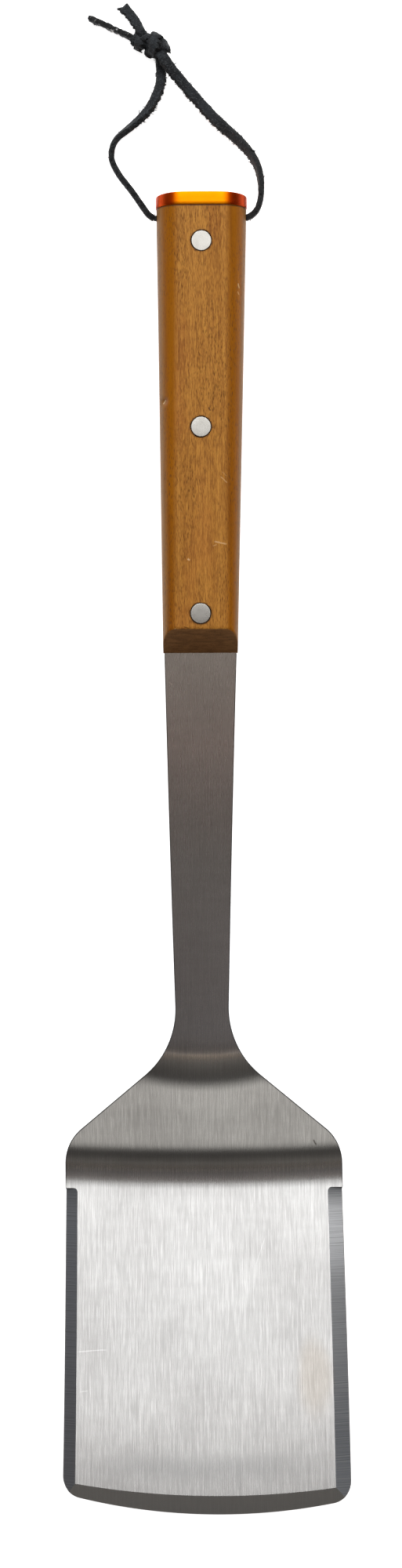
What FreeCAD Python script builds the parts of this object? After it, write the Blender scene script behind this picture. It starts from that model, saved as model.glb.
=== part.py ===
import FreeCAD, Part

import os
from math import asin, atan2, cos, degrees, hypot, pi, radians, sin, tan

V = FreeCAD.Vector
X_AXIS, Y_AXIS, Z_AXIS = V(1, 0, 0), V(0, 1, 0), V(0, 0, 1)

# Build frame: Y runs along the handle, 0 at the butt and negative towards the blade's tip,
# Z = 0 is the middle of the steel inside the handle. place() then tips the finished pieces
# so that the butt and the blade's heel stand on Z = 0, with the origin under the middle.

# Steel blank: one sheet, bent twice
SHEET = 2.2
TANG_END = 12.0
TANG_INSET = 0.35
SHANK_TOP_WIDTH = 25.7
NECK_WIDTH = 18.3
NECK_AT = 302.8
NECK_FILLET = 31.0
SHOULDER_AT = 337.4
SHOULDER_RADIUS = 17.0
BEND_1_AT = 310.5
BEND_1_RADIUS = 34.0
SLOPE_ANGLE = 20.0
BEND_2_AT = 347.0
BEND_2_RADIUS = 25.0
BLADE_ANGLE = 17.0
HEEL_WIDTH = 99.4
FRONT_WIDTH = 100.6
TIP_AT = 463.0
FRONT_RADIUS = 220.0
FRONT_APEX_X = 5.0
CORNER_RADIUS = 7.5

# Bevels ground on the blade's upper face
BEVEL_DEPTH = 1.6
BEVEL_START = 353.8
BEVEL_EDGE_STEP = 0.25
BEVEL_WIDTHS = {-1: 4.4, 1: 5.5}
BEVEL_RUN_OUT = 1.5
FRONT_BEVEL_WIDTH = 6.7
FRONT_BEVEL_RADIUS = 300.0

# Handle: two wooden scales riveted to the tang
HANDLE_END = 162.6
SHOULDER_STEP = 0.6
HANDLE_THICKNESS = 19.0
HANDLE_BUTT_WIDTH = 31.8
HANDLE_FRONT_WIDTH = 26.2
BUTT_CORNER = 8.7
FRONT_CORNER = 4.2
END_BEVEL_RUN = 8.0
WOOD_GAP = 0.02

# End cap
CAP_LENGTH = 4.6
CAP_PROUD = 0.3
CAP_EDGE = 0.4
PEG_RADIUS = 2.0
PEG_LENGTH = 7.0
PEG_OFFSET = 5.5

# Two-part rivets
RIVETS_AT = (17.4, 83.2, 149.1)
RIVET_HEAD_RADIUS = 3.6
RIVET_HEAD_HEIGHT = 2.2
BARREL_RADIUS = 2.4
BARREL_LENGTH = 13.5
PIN_RADIUS = 1.6
PIN_LENGTH = 13.2
RIVET_FIT = 0.03

# How far the cutting tools reach past the faces that they cut
TOOL_REACH = 10.0
FRONT_BEVEL_SWEEP = 30.0

# Leather lace, and the hole through the handle that it is threaded through
LACE = 3.3
LACE_HOLE_AT = 7.6
LACE_HOLE_RADIUS = 2.0
# Each half of the loop, from the mouth of the hole to the knot: X and Y from the hole's
# axis at the middle of the handle, Z above the surface that the spatula lies on
LEFT_ROUTE = (
    (-16.3, 0.0, 9.9),
    (-18.1, 0.9, 9.8),
    (-20.4, 4.4, 9.2),
    (-24.3, 10.4, 7.6),
    (-29.3, 17.0, 5.4),
    (-32.1, 23.4, 3.5),
    (-30.4, 30.0, 2.2),
    (-25.0, 34.1, 1.8),
    (-18.5, 39.9, 1.75),
    (-14.8, 46.5, 1.75),
    (-13.3, 53.0, 1.75),
    (-14.2, 60.6, 2.1),
)
RIGHT_ROUTE = (
    (16.3, 0.0, 9.9),
    (18.6, 0.6, 9.8),
    (21.2, 4.0, 9.3),
    (22.2, 9.8, 8.2),
    (21.7, 17.0, 6.6),
    (18.9, 23.7, 4.9),
    (13.3, 30.1, 3.2),
    (6.4, 36.3, 2.1),
    (-0.6, 43.9, 2.2),
    (-6.6, 50.7, 3.8),
    (-11.1, 55.8, 5.3),
    (-14.2, 60.6, 5.7),
)
KNOT_CENTRE = (-15.1, 63.1, 4.4)
KNOT_RADIUS = 4.3
KNOT_NECK_CENTRE = (-21.0, 65.0, 3.1)
KNOT_NECK_RADIUS = 2.9
LONG_TAIL = ((-23.3, 66.1, 2.5), (-31.2, 69.9, 2.0), (-39.4, 73.7, 1.75))
SHORT_TAIL = ((-20.6, 67.5, 4.2), (-22.6, 73.0, 2.8), (-27.0, 77.4, 1.8))


def arc_bulge(before, corner, after, radius):
    """Start, middle and end of the arc of this radius that rounds a corner."""
    a = (before - corner).normalize()
    b = (after - corner).normalize()
    half = a.getAngle(b) / 2
    reach = radius / tan(half)
    bisector = (a + b).normalize()
    middle = corner + bisector * (radius / sin(half) - radius)
    return corner + a * reach, middle, corner + b * reach


def rounded_path(points, radii, closed=False):
    """Straight edges joined by tangent arcs; radii gives one radius per point."""
    count = len(points)
    edges = []
    here = None
    first = None
    for i, (corner, radius) in enumerate(zip(points, radii)):
        inner = closed or 0 < i < count - 1
        if inner and radius:
            start, middle, end = arc_bulge(points[i - 1], corner, points[(i + 1) % count], radius)
        else:
            start, middle, end = corner, None, corner
        if here is None:
            first = start
        elif here.distanceToPoint(start) > 1e-7:
            edges.append(Part.LineSegment(here, start).toShape())
        if middle is not None:
            edges.append(Part.Arc(start, middle, end).toShape())
        here = end
    if closed:
        edges.append(Part.LineSegment(here, first).toShape())
    return edges


def outline_prism(points, radii, direction):
    """Closed outline with rounded corners, extruded along direction."""
    wire = Part.Wire(rounded_path(points, radii, closed=True))
    return Part.Face(wire).extrude(direction)


def with_mirror_image(points):
    """The outline's right-hand points followed by their mirror images, back to the start."""
    return points + [V(-p.x, p.y, p.z) for p in reversed(points)]


# Side view of the blank, by distance from the butt


def profile_points():
    """Corners of the sheet's middle line in side view, from the tang's end to the tip."""
    drop = (BEND_2_AT - BEND_1_AT) * tan(radians(SLOPE_ANGLE))
    beyond = TIP_AT + 2 * TOOL_REACH
    rise = (beyond - BEND_2_AT) * tan(radians(BLADE_ANGLE))
    return [
        V(0, -TANG_END, 0),
        V(0, -BEND_1_AT, 0),
        V(0, -BEND_2_AT, -drop),
        V(0, -beyond, rise - drop),
    ]


def offset_side(points, radii, distance):
    """The side-view corners and radii of a line parallel to the sheet's middle line."""
    angles = [0.0, -SLOPE_ANGLE, BLADE_ANGLE]
    normals = [V(0, sin(radians(a)), cos(radians(a))) for a in angles]
    moved = [points[0] + normals[0] * distance]
    new_radii = [0.0]
    for i in (1, 2):
        between = (normals[i - 1] + normals[i]).normalize()
        stretch = distance / between.dot(normals[i])
        moved.append(points[i] + between * stretch)
        opens_up = 1 if angles[i] > angles[i - 1] else -1
        new_radii.append(radii[i] - opens_up * distance)
    moved.append(points[3] + normals[2] * distance)
    new_radii.append(0.0)
    return moved, new_radii


def bent_sheet():
    """The sheet in side view, wider than the blade on both sides."""
    points = profile_points()
    radii = [0.0, BEND_1_RADIUS, BEND_2_RADIUS, 0.0]
    upper, upper_radii = offset_side(points, radii, SHEET / 2)
    lower, lower_radii = offset_side(points, radii, -SHEET / 2)
    top = rounded_path(upper, upper_radii)
    bottom = rounded_path(lower, lower_radii)
    ends = [
        Part.LineSegment(upper[0], lower[0]).toShape(),
        Part.LineSegment(upper[-1], lower[-1]).toShape(),
    ]
    wire = Part.Wire(Part.__sortEdges__(top + bottom + ends))
    face = Part.Face(wire)
    face.translate(V(-FRONT_WIDTH, 0, 0))
    return face.extrude(V(2 * FRONT_WIDTH, 0, 0))


def handle_half_width(distance):
    """Half the wooden handle's width at a distance from the butt."""
    share = (distance - CAP_LENGTH) / (HANDLE_END - CAP_LENGTH)
    return (HANDLE_BUTT_WIDTH + share * (HANDLE_FRONT_WIDTH - HANDLE_BUTT_WIDTH)) / 2


def blade_half_width(distance):
    """Half the blade's width at a distance from the butt, before the bevels are ground."""
    share = (distance - SHOULDER_AT) / (TIP_AT - SHOULDER_AT)
    return (HEEL_WIDTH + share * (FRONT_WIDTH - HEEL_WIDTH)) / 2


def blank_outline():
    """The blank seen from above: tang, shank, flare, blade and its convex front edge."""
    side = [
        (handle_half_width(TANG_END) - TANG_INSET, TANG_END, 0.0),
        (handle_half_width(HANDLE_END) - TANG_INSET, HANDLE_END, 0.0),
        (SHANK_TOP_WIDTH / 2, HANDLE_END + SHOULDER_STEP, 0.0),
        (NECK_WIDTH / 2, NECK_AT, NECK_FILLET),
        (blade_half_width(SHOULDER_AT), SHOULDER_AT, SHOULDER_RADIUS),
        (blade_half_width(BEVEL_START), BEVEL_START, 0.0),
        (blade_half_width(BEVEL_START) - BEVEL_EDGE_STEP, BEVEL_START + SHOULDER_STEP, 0.0),
        (blade_half_width(TIP_AT) - BEVEL_EDGE_STEP, TIP_AT + TOOL_REACH, 0.0),
    ]
    right = [V(x, -s, -FRONT_WIDTH) for x, s, _ in side]
    radii = [r for _, _, r in side]
    return outline_prism(with_mirror_image(right), radii + radii[::-1], 2 * FRONT_WIDTH * Z_AXIS)


def front_disc():
    """Upright cylinder that gives the blade its convex front edge."""
    centre = V(FRONT_APEX_X, FRONT_RADIUS - TIP_AT, -FRONT_WIDTH)
    return Part.makeCylinder(FRONT_RADIUS, 2 * FRONT_WIDTH, centre)


def rounded_front(blank):
    """The blank with its convex front edge and its two rounded front corners."""
    cut = blank.common(front_disc())
    corners = []
    for edge in cut.Edges:
        middle = edge.CenterOfMass
        upright = abs(edge.tangentAt(edge.FirstParameter).z) > 0.9
        if upright and middle.y < -TIP_AT + TOOL_REACH and abs(middle.x) > 0.45 * FRONT_WIDTH:
            corners.append(edge)
    return cut.makeFillet(CORNER_RADIUS, corners)


def blade_frame(shape):
    """Moves a tool made in the blade's own frame (Y back from the tip, Z off the upper face)."""
    tip_rise = profile_points()[2].z + (TIP_AT - BEND_2_AT) * tan(radians(BLADE_ANGLE))
    lift = SHEET / 2 / cos(radians(BLADE_ANGLE))
    shape.rotate(V(0, 0, 0), X_AXIS, -BLADE_ANGLE)
    shape.translate(V(0, -TIP_AT, tip_rise + lift))
    return shape


def side_bevel_tool(side):
    """Wedge ground off one side of the blade, with a rounded run-out at the heel."""
    width = BEVEL_WIDTHS[side]
    edge = side * (FRONT_WIDTH / 2 - BEVEL_EDGE_STEP)
    heel_edge = side * blade_half_width(BEVEL_START)
    length = (TIP_AT - BEVEL_START) / cos(radians(BLADE_ANGLE))
    slope = BEVEL_DEPTH / width
    ends = []
    for edge_x, y in ((edge, -TOOL_REACH), (heel_edge, length + TOOL_REACH)):
        inner = V(edge_x - side * width, y, 0)
        outer_low = V(edge_x + side * TOOL_REACH, y, -slope * (width + TOOL_REACH))
        outer_high = V(edge_x + side * TOOL_REACH, y, TOOL_REACH)
        inner_high = V(edge_x - side * width, y, TOOL_REACH)
        ends.append(Part.makePolygon([inner, outer_low, outer_high, inner_high, inner]))
    wedge = Part.makeLoft(ends, True, True)
    inner_x = heel_edge - side * width
    far_x = side * FRONT_WIDTH
    stop = [
        V(far_x, -TOOL_REACH, -TOOL_REACH),
        V(far_x, length, -TOOL_REACH),
        V(inner_x, length, -TOOL_REACH),
        V(inner_x - side * width, -TOOL_REACH, -TOOL_REACH),
    ]
    limit = outline_prism(stop, [0.0, 0.0, BEVEL_RUN_OUT, 0.0], 2 * TOOL_REACH * Z_AXIS)
    return blade_frame(wedge.common(limit))


def front_bevel_tool():
    """Conical wedge ground along the blade's front edge."""
    slope = BEVEL_DEPTH / FRONT_BEVEL_WIDTH
    inner = FRONT_BEVEL_RADIUS
    outer = inner + FRONT_BEVEL_WIDTH + TOOL_REACH
    centre = V(FRONT_APEX_X, inner + FRONT_BEVEL_WIDTH, 0)
    section = [
        centre - Y_AXIS * inner,
        centre - Y_AXIS * outer - Z_AXIS * slope * (outer - inner),
        centre - Y_AXIS * outer + Z_AXIS * TOOL_REACH,
        centre - Y_AXIS * inner + Z_AXIS * TOOL_REACH,
    ]
    face = Part.Face(Part.makePolygon(section + section[:1]))
    face.rotate(centre, Z_AXIS, -FRONT_BEVEL_SWEEP / 2)
    return blade_frame(face.revolve(centre, Z_AXIS, FRONT_BEVEL_SWEEP))


def rivet_holes(radius):
    """One through hole per rivet."""
    holes = []
    for distance in RIVETS_AT:
        start = V(0, -distance, -HANDLE_THICKNESS)
        holes.append(Part.makeCylinder(radius, 2 * HANDLE_THICKNESS, start))
    return Part.makeCompound(holes)


def make_blank():
    """The steel: tang, shank, slope and blade in one bent piece."""
    blank = rounded_front(bent_sheet().common(blank_outline()))
    for side in (-1, 1):
        blank = blank.cut(side_bevel_tool(side))
    blank = blank.cut(front_bevel_tool())
    return blank.cut(rivet_holes(BARREL_RADIUS + RIVET_FIT))


# Handle


def rounded_section(half_width, half_height, corner, distance):
    """Rounded rectangle across the handle at a distance from the butt."""
    corners = [(-1, -1), (1, -1), (1, 1), (-1, 1)]
    points = [V(half_width * x, -distance, half_height * z) for x, z in corners]
    return Part.Wire(rounded_path(points, [corner] * 4, closed=True))


def handle_body():
    """Both scales as one tapering block, before they are split."""
    half_height = HANDLE_THICKNESS / 2
    butt = rounded_section(HANDLE_BUTT_WIDTH / 2, half_height, BUTT_CORNER, CAP_LENGTH)
    front = rounded_section(HANDLE_FRONT_WIDTH / 2, half_height, FRONT_CORNER, HANDLE_END)
    return Part.makeLoft([butt, front], True, True)


def end_bevel_tool(side):
    """Wedge that slopes a scale's blade end back from the steel to its face."""
    face_z = side * HANDLE_THICKNESS / 2
    steel_z = side * SHEET / 2
    wide = HANDLE_BUTT_WIDTH
    section = [
        V(-wide, -HANDLE_END, steel_z),
        V(-wide, -HANDLE_END + END_BEVEL_RUN, face_z),
        V(-wide, -HANDLE_END + END_BEVEL_RUN, face_z + side * TOOL_REACH),
        V(-wide, -HANDLE_END - TOOL_REACH, face_z + side * TOOL_REACH),
        V(-wide, -HANDLE_END - TOOL_REACH, steel_z),
    ]
    face = Part.Face(Part.makePolygon(section + section[:1]))
    return face.extrude(V(2 * wide, 0, 0))


def head_seats():
    """Counterbores for the rivet heads on both faces of the handle."""
    seats = []
    for distance in RIVETS_AT:
        for side in (-1, 1):
            seat = Part.makeCylinder(
                RIVET_HEAD_RADIUS + RIVET_FIT,
                HANDLE_THICKNESS,
                V(0, -distance, side * (HANDLE_THICKNESS / 2 - RIVET_HEAD_HEIGHT)),
                Z_AXIS * side,
            )
            seats.append(seat)
    return Part.makeCompound(seats)


def peg(side, extra):
    """One of the end cap's pegs, or its hole when extra is above 0."""
    start = V(0, -CAP_LENGTH / 2, side * PEG_OFFSET)
    length = CAP_LENGTH / 2 + PEG_LENGTH + extra
    return Part.makeCylinder(PEG_RADIUS + extra, length, start, -Y_AXIS)


def lace_hole():
    """Hole across the handle for the lace."""
    start = V(-HANDLE_BUTT_WIDTH, -LACE_HOLE_AT, 0)
    return Part.makeCylinder(LACE_HOLE_RADIUS, 2 * HANDLE_BUTT_WIDTH, start, X_AXIS)


def make_scale(side):
    """One wooden scale. Past the tang's end it closes to the handle's middle plane."""
    wide = 2 * HANDLE_BUTT_WIDTH
    start_z = 0 if side > 0 else -HANDLE_THICKNESS
    half_start = V(-wide / 2, -HANDLE_END, start_z)
    half_space = Part.makeBox(wide, HANDLE_END, HANDLE_THICKNESS, half_start)
    slot_start = V(-wide / 2, -HANDLE_END, -SHEET / 2)
    tang_slot = Part.makeBox(wide, HANDLE_END - TANG_END + WOOD_GAP, SHEET, slot_start)
    scale = handle_body().common(half_space).cut(tang_slot)
    cutters = [
        end_bevel_tool(side),
        rivet_holes(BARREL_RADIUS + RIVET_FIT),
        head_seats(),
        peg(side, RIVET_FIT),
        lace_hole(),
    ]
    for cutter in cutters:
        scale = scale.cut(cutter)
    return scale


def make_cap():
    """Anodised plate across the butt, with one peg into each scale."""
    half_width = HANDLE_BUTT_WIDTH / 2 + CAP_PROUD
    half_height = HANDLE_THICKNESS / 2 + CAP_PROUD
    corner = BUTT_CORNER + CAP_PROUD
    wire = rounded_section(half_width, half_height, corner, 0)
    plate = Part.Face(wire).extrude(V(0, -CAP_LENGTH, 0))
    outer_rim = [e for e in plate.Edges if abs(e.CenterOfMass.y) < 1e-6]
    plate = plate.makeChamfer(CAP_EDGE, outer_rim)
    return plate.fuse([peg(1, 0), peg(-1, 0)]).removeSplitter()


def female_rivet(distance):
    """Front head with the barrel that runs through the scales and the tang."""
    face = HANDLE_THICKNESS / 2
    head = Part.makeCylinder(RIVET_HEAD_RADIUS, RIVET_HEAD_HEIGHT, V(0, -distance, face), -Z_AXIS)
    barrel_height = RIVET_HEAD_HEIGHT + BARREL_LENGTH
    barrel = Part.makeCylinder(BARREL_RADIUS, barrel_height, V(0, -distance, face), -Z_AXIS)
    bore_start = V(0, -distance, face - barrel_height)
    bore = Part.makeCylinder(PIN_RADIUS + RIVET_FIT, BARREL_LENGTH, bore_start)
    return head.fuse(barrel).removeSplitter().cut(bore)


def male_rivet(distance):
    """Back head with the pin that is pressed into the barrel."""
    face = -HANDLE_THICKNESS / 2
    head = Part.makeCylinder(RIVET_HEAD_RADIUS, RIVET_HEAD_HEIGHT, V(0, -distance, face))
    pin = Part.makeCylinder(PIN_RADIUS, RIVET_HEAD_HEIGHT + PIN_LENGTH, V(0, -distance, face))
    return head.fuse(pin).removeSplitter()


# Standing pose


def rest_tilt():
    """Angle that brings the butt's back edge and the heel to one level surface."""
    points = profile_points()
    slope = radians(SLOPE_ANGLE)
    blade = radians(BLADE_ANGLE)
    reach = BEND_2_RADIUS * tan((slope + blade) / 2)
    tangent = points[2] + V(0, cos(blade), -sin(blade)) * -reach
    centre = tangent + V(0, sin(blade), cos(blade)) * BEND_2_RADIUS
    butt = V(0, -CAP_EDGE, -HANDLE_THICKNESS / 2 - CAP_PROUD)
    along = butt.y - centre.y
    above = centre.z - butt.z
    heel_radius = BEND_2_RADIUS + SHEET / 2
    return atan2(above, along) - asin(heel_radius / hypot(along, above))


TILT = rest_tilt()


def tipped(point):
    """A build-frame point after the pieces are tipped about X onto the surface."""
    y = point.y * cos(TILT) - point.z * sin(TILT)
    z = point.y * sin(TILT) + point.z * cos(TILT)
    return V(point.x, y, z)


def frame_shift(solids):
    """Move that puts the tipped object's middle over the origin and its foot at Z = 0."""
    box = FreeCAD.BoundBox()
    for solid in solids:
        turned = solid.copy()
        turned.rotate(V(0, 0, 0), X_AXIS, degrees(TILT))
        box.add(turned.optimalBoundingBox(False))
    return V(0, -(box.YMin + box.YMax) / 2, -box.ZMin)


def place(shape, shift):
    """Tips a build-frame shape onto the surface and moves it into the part's frame."""
    placed = shape.copy()
    placed.rotate(V(0, 0, 0), X_AXIS, degrees(TILT))
    placed.translate(shift)
    return placed


# Lace


def cord_radii(points):
    """Arc radii for a cord's route: 0.45 of the shorter run over tan of half the turn."""
    radii = [0.0]
    for before, corner, after in zip(points, points[1:], points[2:]):
        turn = (corner - before).getAngle(after - corner)
        shorter = min(corner.distanceToPoint(before), corner.distanceToPoint(after))
        radii.append(0.45 * shorter / tan(turn / 2))
    return radii + [0.0]


def cord_tube(name, points, diameter):
    """Round tube along straight runs and tangent arcs, with its figures printed."""
    radii = cord_radii(points)
    edges = rounded_path(points, radii)
    path = Part.Wire(edges)
    start_direction = (points[1] - points[0]).normalize()
    circle = Part.Wire(Part.makeCircle(diameter / 2, points[0], start_direction))
    tube = path.makePipeShell([circle], True, True)
    section = pi * diameter**2 / 4
    inner = [round(r, 1) for r in radii[1:-1]]
    share = tube.Volume / (section * path.Length)
    print(f"{name}: length {path.Length:.1f} mm, radii {inner}, volume over section {share:.4f}")
    return tube


def lace_hole_centre(shift):
    """Where the lace hole's axis crosses the handle's middle, in the part's frame."""
    return tipped(V(0, -LACE_HOLE_AT, 0)) + shift


def lace_points(route, shift):
    """A route given from the lace hole, in the part's frame."""
    hole = lace_hole_centre(shift)
    return [V(x, hole.y + y, z) for x, y, z in route]


def make_lace(shift):
    """The lace: threaded stretch, two halves of the loop, knot and two tails."""
    hole = lace_hole_centre(shift)
    left = lace_points(LEFT_ROUTE, shift)
    right = lace_points(RIGHT_ROUTE, shift)
    half = right[0].x
    threaded = Part.makeCylinder(LACE / 2, 2 * half, V(-half, hole.y, hole.z), X_AXIS)
    knot_centre, neck_centre = lace_points((KNOT_CENTRE, KNOT_NECK_CENTRE), shift)
    knot = Part.makeSphere(KNOT_RADIUS, knot_centre)
    neck = Part.makeSphere(KNOT_NECK_RADIUS, neck_centre)
    knot = knot.fuse(neck)
    strands = {
        "lace_left": cord_tube("lace_left", left, LACE),
        "lace_right": cord_tube("lace_right", right, LACE),
        "lace_tail_long": cord_tube("lace_tail_long", lace_points(LONG_TAIL, shift), LACE),
        "lace_tail_short": cord_tube("lace_tail_short", lace_points(SHORT_TAIL, shift), LACE),
    }
    for strand in strands.values():
        knot = knot.cut(strand)
        threaded = threaded.cut(strand)
    return {"lace_threaded": threaded, "lace_knot": knot, **strands}


def main():
    rigid = {
        "spatula_blank": make_blank(),
        "handle_scale_front": make_scale(1),
        "handle_scale_back": make_scale(-1),
        "end_cap": make_cap(),
    }
    for number, distance in enumerate(RIVETS_AT, 1):
        rigid[f"rivet_{number}_barrel"] = female_rivet(distance)
        rigid[f"rivet_{number}_pin"] = male_rivet(distance)
    shift = frame_shift(rigid.values())
    nodes = {name: place(shape, shift) for name, shape in rigid.items()}
    nodes.update(make_lace(shift))

    os.makedirs("parts", exist_ok=True)
    for name, shape in nodes.items():
        shape.exportStep(f"parts/{name}.step")
        box = shape.optimalBoundingBox(False)
        spans = [round(v, 2) for v in (box.XMin, box.XMax, box.YMin, box.YMax, box.ZMin, box.ZMax)]
        print(name, shape.isValid(), len(shape.Solids), round(shape.Volume, 1), spans)
    hole = lace_hole_centre(shift)
    print(f"tilt {degrees(TILT):.3f} degrees, shift {shift.y:.3f} {shift.z:.3f}")
    print(f"lace hole axis at y {hole.y:.3f} z {hole.z:.3f}")


main()
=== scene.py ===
from math import atan, cos, pi, radians, sin, sqrt, tan

import bmesh
import bpy
import numpy as np
from mathutils import Matrix, Vector, noise
from mathutils.geometry import delaunay_2d_cdt


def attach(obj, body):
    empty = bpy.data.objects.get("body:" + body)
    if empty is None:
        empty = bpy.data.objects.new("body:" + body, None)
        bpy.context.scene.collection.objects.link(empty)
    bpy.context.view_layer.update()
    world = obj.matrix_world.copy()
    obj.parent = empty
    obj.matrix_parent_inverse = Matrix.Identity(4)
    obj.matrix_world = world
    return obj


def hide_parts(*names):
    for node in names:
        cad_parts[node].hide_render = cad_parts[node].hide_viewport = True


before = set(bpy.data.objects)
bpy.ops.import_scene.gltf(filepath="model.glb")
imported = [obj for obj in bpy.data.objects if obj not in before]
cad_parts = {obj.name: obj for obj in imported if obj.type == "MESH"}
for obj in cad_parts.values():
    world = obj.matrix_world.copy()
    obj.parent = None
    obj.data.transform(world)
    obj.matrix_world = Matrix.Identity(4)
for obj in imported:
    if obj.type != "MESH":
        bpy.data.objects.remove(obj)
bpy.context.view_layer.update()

# Sizes in millimetres. "d" is the distance from the butt along the handle and the blade.
# Build frame: X across, Y = -d, Z off the middle of the steel inside the handle.
TILT = radians(-0.533)
SHIFT_Y, SHIFT_Z = 231.348, 9.796
SHEET = 2.2
TANG_END, TANG_INSET = 12.0, 0.35
SHANK_TOP_HALF, NECK_HALF, NECK_AT, NECK_FILLET = 12.85, 9.15, 302.8, 31.0
SHOULDER_AT, SHOULDER_RADIUS = 337.4, 17.0
BEND_1, BEND_1_RADIUS = 310.5, 34.0
BEND_2, BEND_2_RADIUS = 347.0, 25.0
SLOPE, BLADE = radians(20.0), radians(17.0)
HEEL_HALF, FRONT_HALF, TIP = 49.7, 50.6, 463.0
FRONT_RADIUS, APEX_X, CORNER = 220.0, 5.0, 7.5
BEVEL_DEPTH, BEVEL_START, EDGE_STEP = 1.6, 353.8, 0.25
BEVEL_WIDTH = {-1: 4.4, 1: 5.5}
RUN_OUT = 1.5
FRONT_BEVEL, FRONT_BEVEL_RADIUS = 6.7, 300.0
HANDLE_END, CAP_LENGTH = 162.6, 4.6
HALF_THICK = 9.5
BUTT_HALF, FRONT_HALF_WIDTH = 15.9, 13.1
BUTT_CORNER, FRONT_CORNER, END_BEVEL = 8.7, 4.2, 8.0
RIVETS = (17.4, 83.2, 149.1)
WOOD_SPREAD, DENT = 0.14, (-13.0, 73.9)
HEAD_RADIUS = 3.6
LACE_HOLE_AT, LACE_HOLE_RADIUS = 7.6, 2.0
HOLE_Y, HOLE_Z = 223.749, 9.867
# The tool bows slightly sideways: how far to +X, at distances from the butt in hundreds of millimetres
BOW = ((0.0, 0.62), (0.6, 0.30), (1.1, -0.05), (1.65, -0.32), (2.3, -0.56), (2.85, -0.45), (3.41, 0.10),
       (3.9, 0.36), (4.63, 0.62))
BOW_CURVE = np.polyfit(*zip(*BOW), 5)

# The lace, in metres: X and Y from the hole's axis, Z above the surface it lies on
LEFT_ROUTE = (
    (-0.0163, 0.0, 0.0099),
    (-0.0181, 0.0009, 0.0098),
    (-0.0204, 0.0044, 0.0092),
    (-0.0243, 0.0104, 0.0076),
    (-0.0293, 0.0170, 0.0054),
    (-0.0321, 0.0234, 0.0035),
    (-0.0304, 0.0300, 0.0022),
    (-0.0250, 0.0341, 0.0018),
    (-0.0185, 0.0399, 0.00175),
    (-0.0148, 0.0465, 0.00175),
    (-0.0133, 0.0530, 0.00175),
    (-0.0142, 0.0606, 0.0021),
)
RIGHT_ROUTE = (
    (0.0163, 0.0, 0.0099),
    (0.0186, 0.0006, 0.0098),
    (0.0212, 0.0040, 0.0093),
    (0.0222, 0.0098, 0.0082),
    (0.0217, 0.0170, 0.0066),
    (0.0189, 0.0237, 0.0049),
    (0.0133, 0.0301, 0.0032),
    (0.0064, 0.0363, 0.0021),
    (-0.0006, 0.0439, 0.0022),
    (-0.0066, 0.0507, 0.0038),
    (-0.0111, 0.0558, 0.0053),
    (-0.0142, 0.0606, 0.0057),
)
LONG_TAIL = ((-0.0233, 0.0661, 0.0025), (-0.0312, 0.0699, 0.0020), (-0.0394, 0.0737, 0.00175))
SHORT_TAIL = ((-0.0206, 0.0675, 0.0042), (-0.0226, 0.0730, 0.0028), (-0.0270, 0.0774, 0.0018))
LACE_WIDTH, LACE_THICK = 0.0033, 0.0018
SEEN_THICK, TAIL_THICK = 0.0021, 0.0019
CUT_LENGTH, FIBRE_LENGTH, THREAD_REACH = 0.003, 0.0014, 0.0164
KNOT_LEAN = radians(-25)


def to_frame(points):
    """Build-frame millimetres to the row frame's metres."""
    p = np.asarray(points, float).reshape(-1, 3)
    y = p[:, 1] * cos(TILT) - p[:, 2] * sin(TILT) + SHIFT_Y
    z = p[:, 1] * sin(TILT) + p[:, 2] * cos(TILT) + SHIFT_Z
    return np.column_stack([p[:, 0] + np.polyval(BOW_CURVE, -p[:, 1] / 100), y, z]) / 1000


def turn(vectors):
    """Build-frame directions to the row frame's."""
    v = np.asarray(vectors, float).reshape(-1, 3)
    y = v[:, 1] * cos(TILT) - v[:, 2] * sin(TILT)
    z = v[:, 1] * sin(TILT) + v[:, 2] * cos(TILT)
    return np.column_stack([v[:, 0], y, z])


# ---------------------------------------------------------------- node helpers


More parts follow.
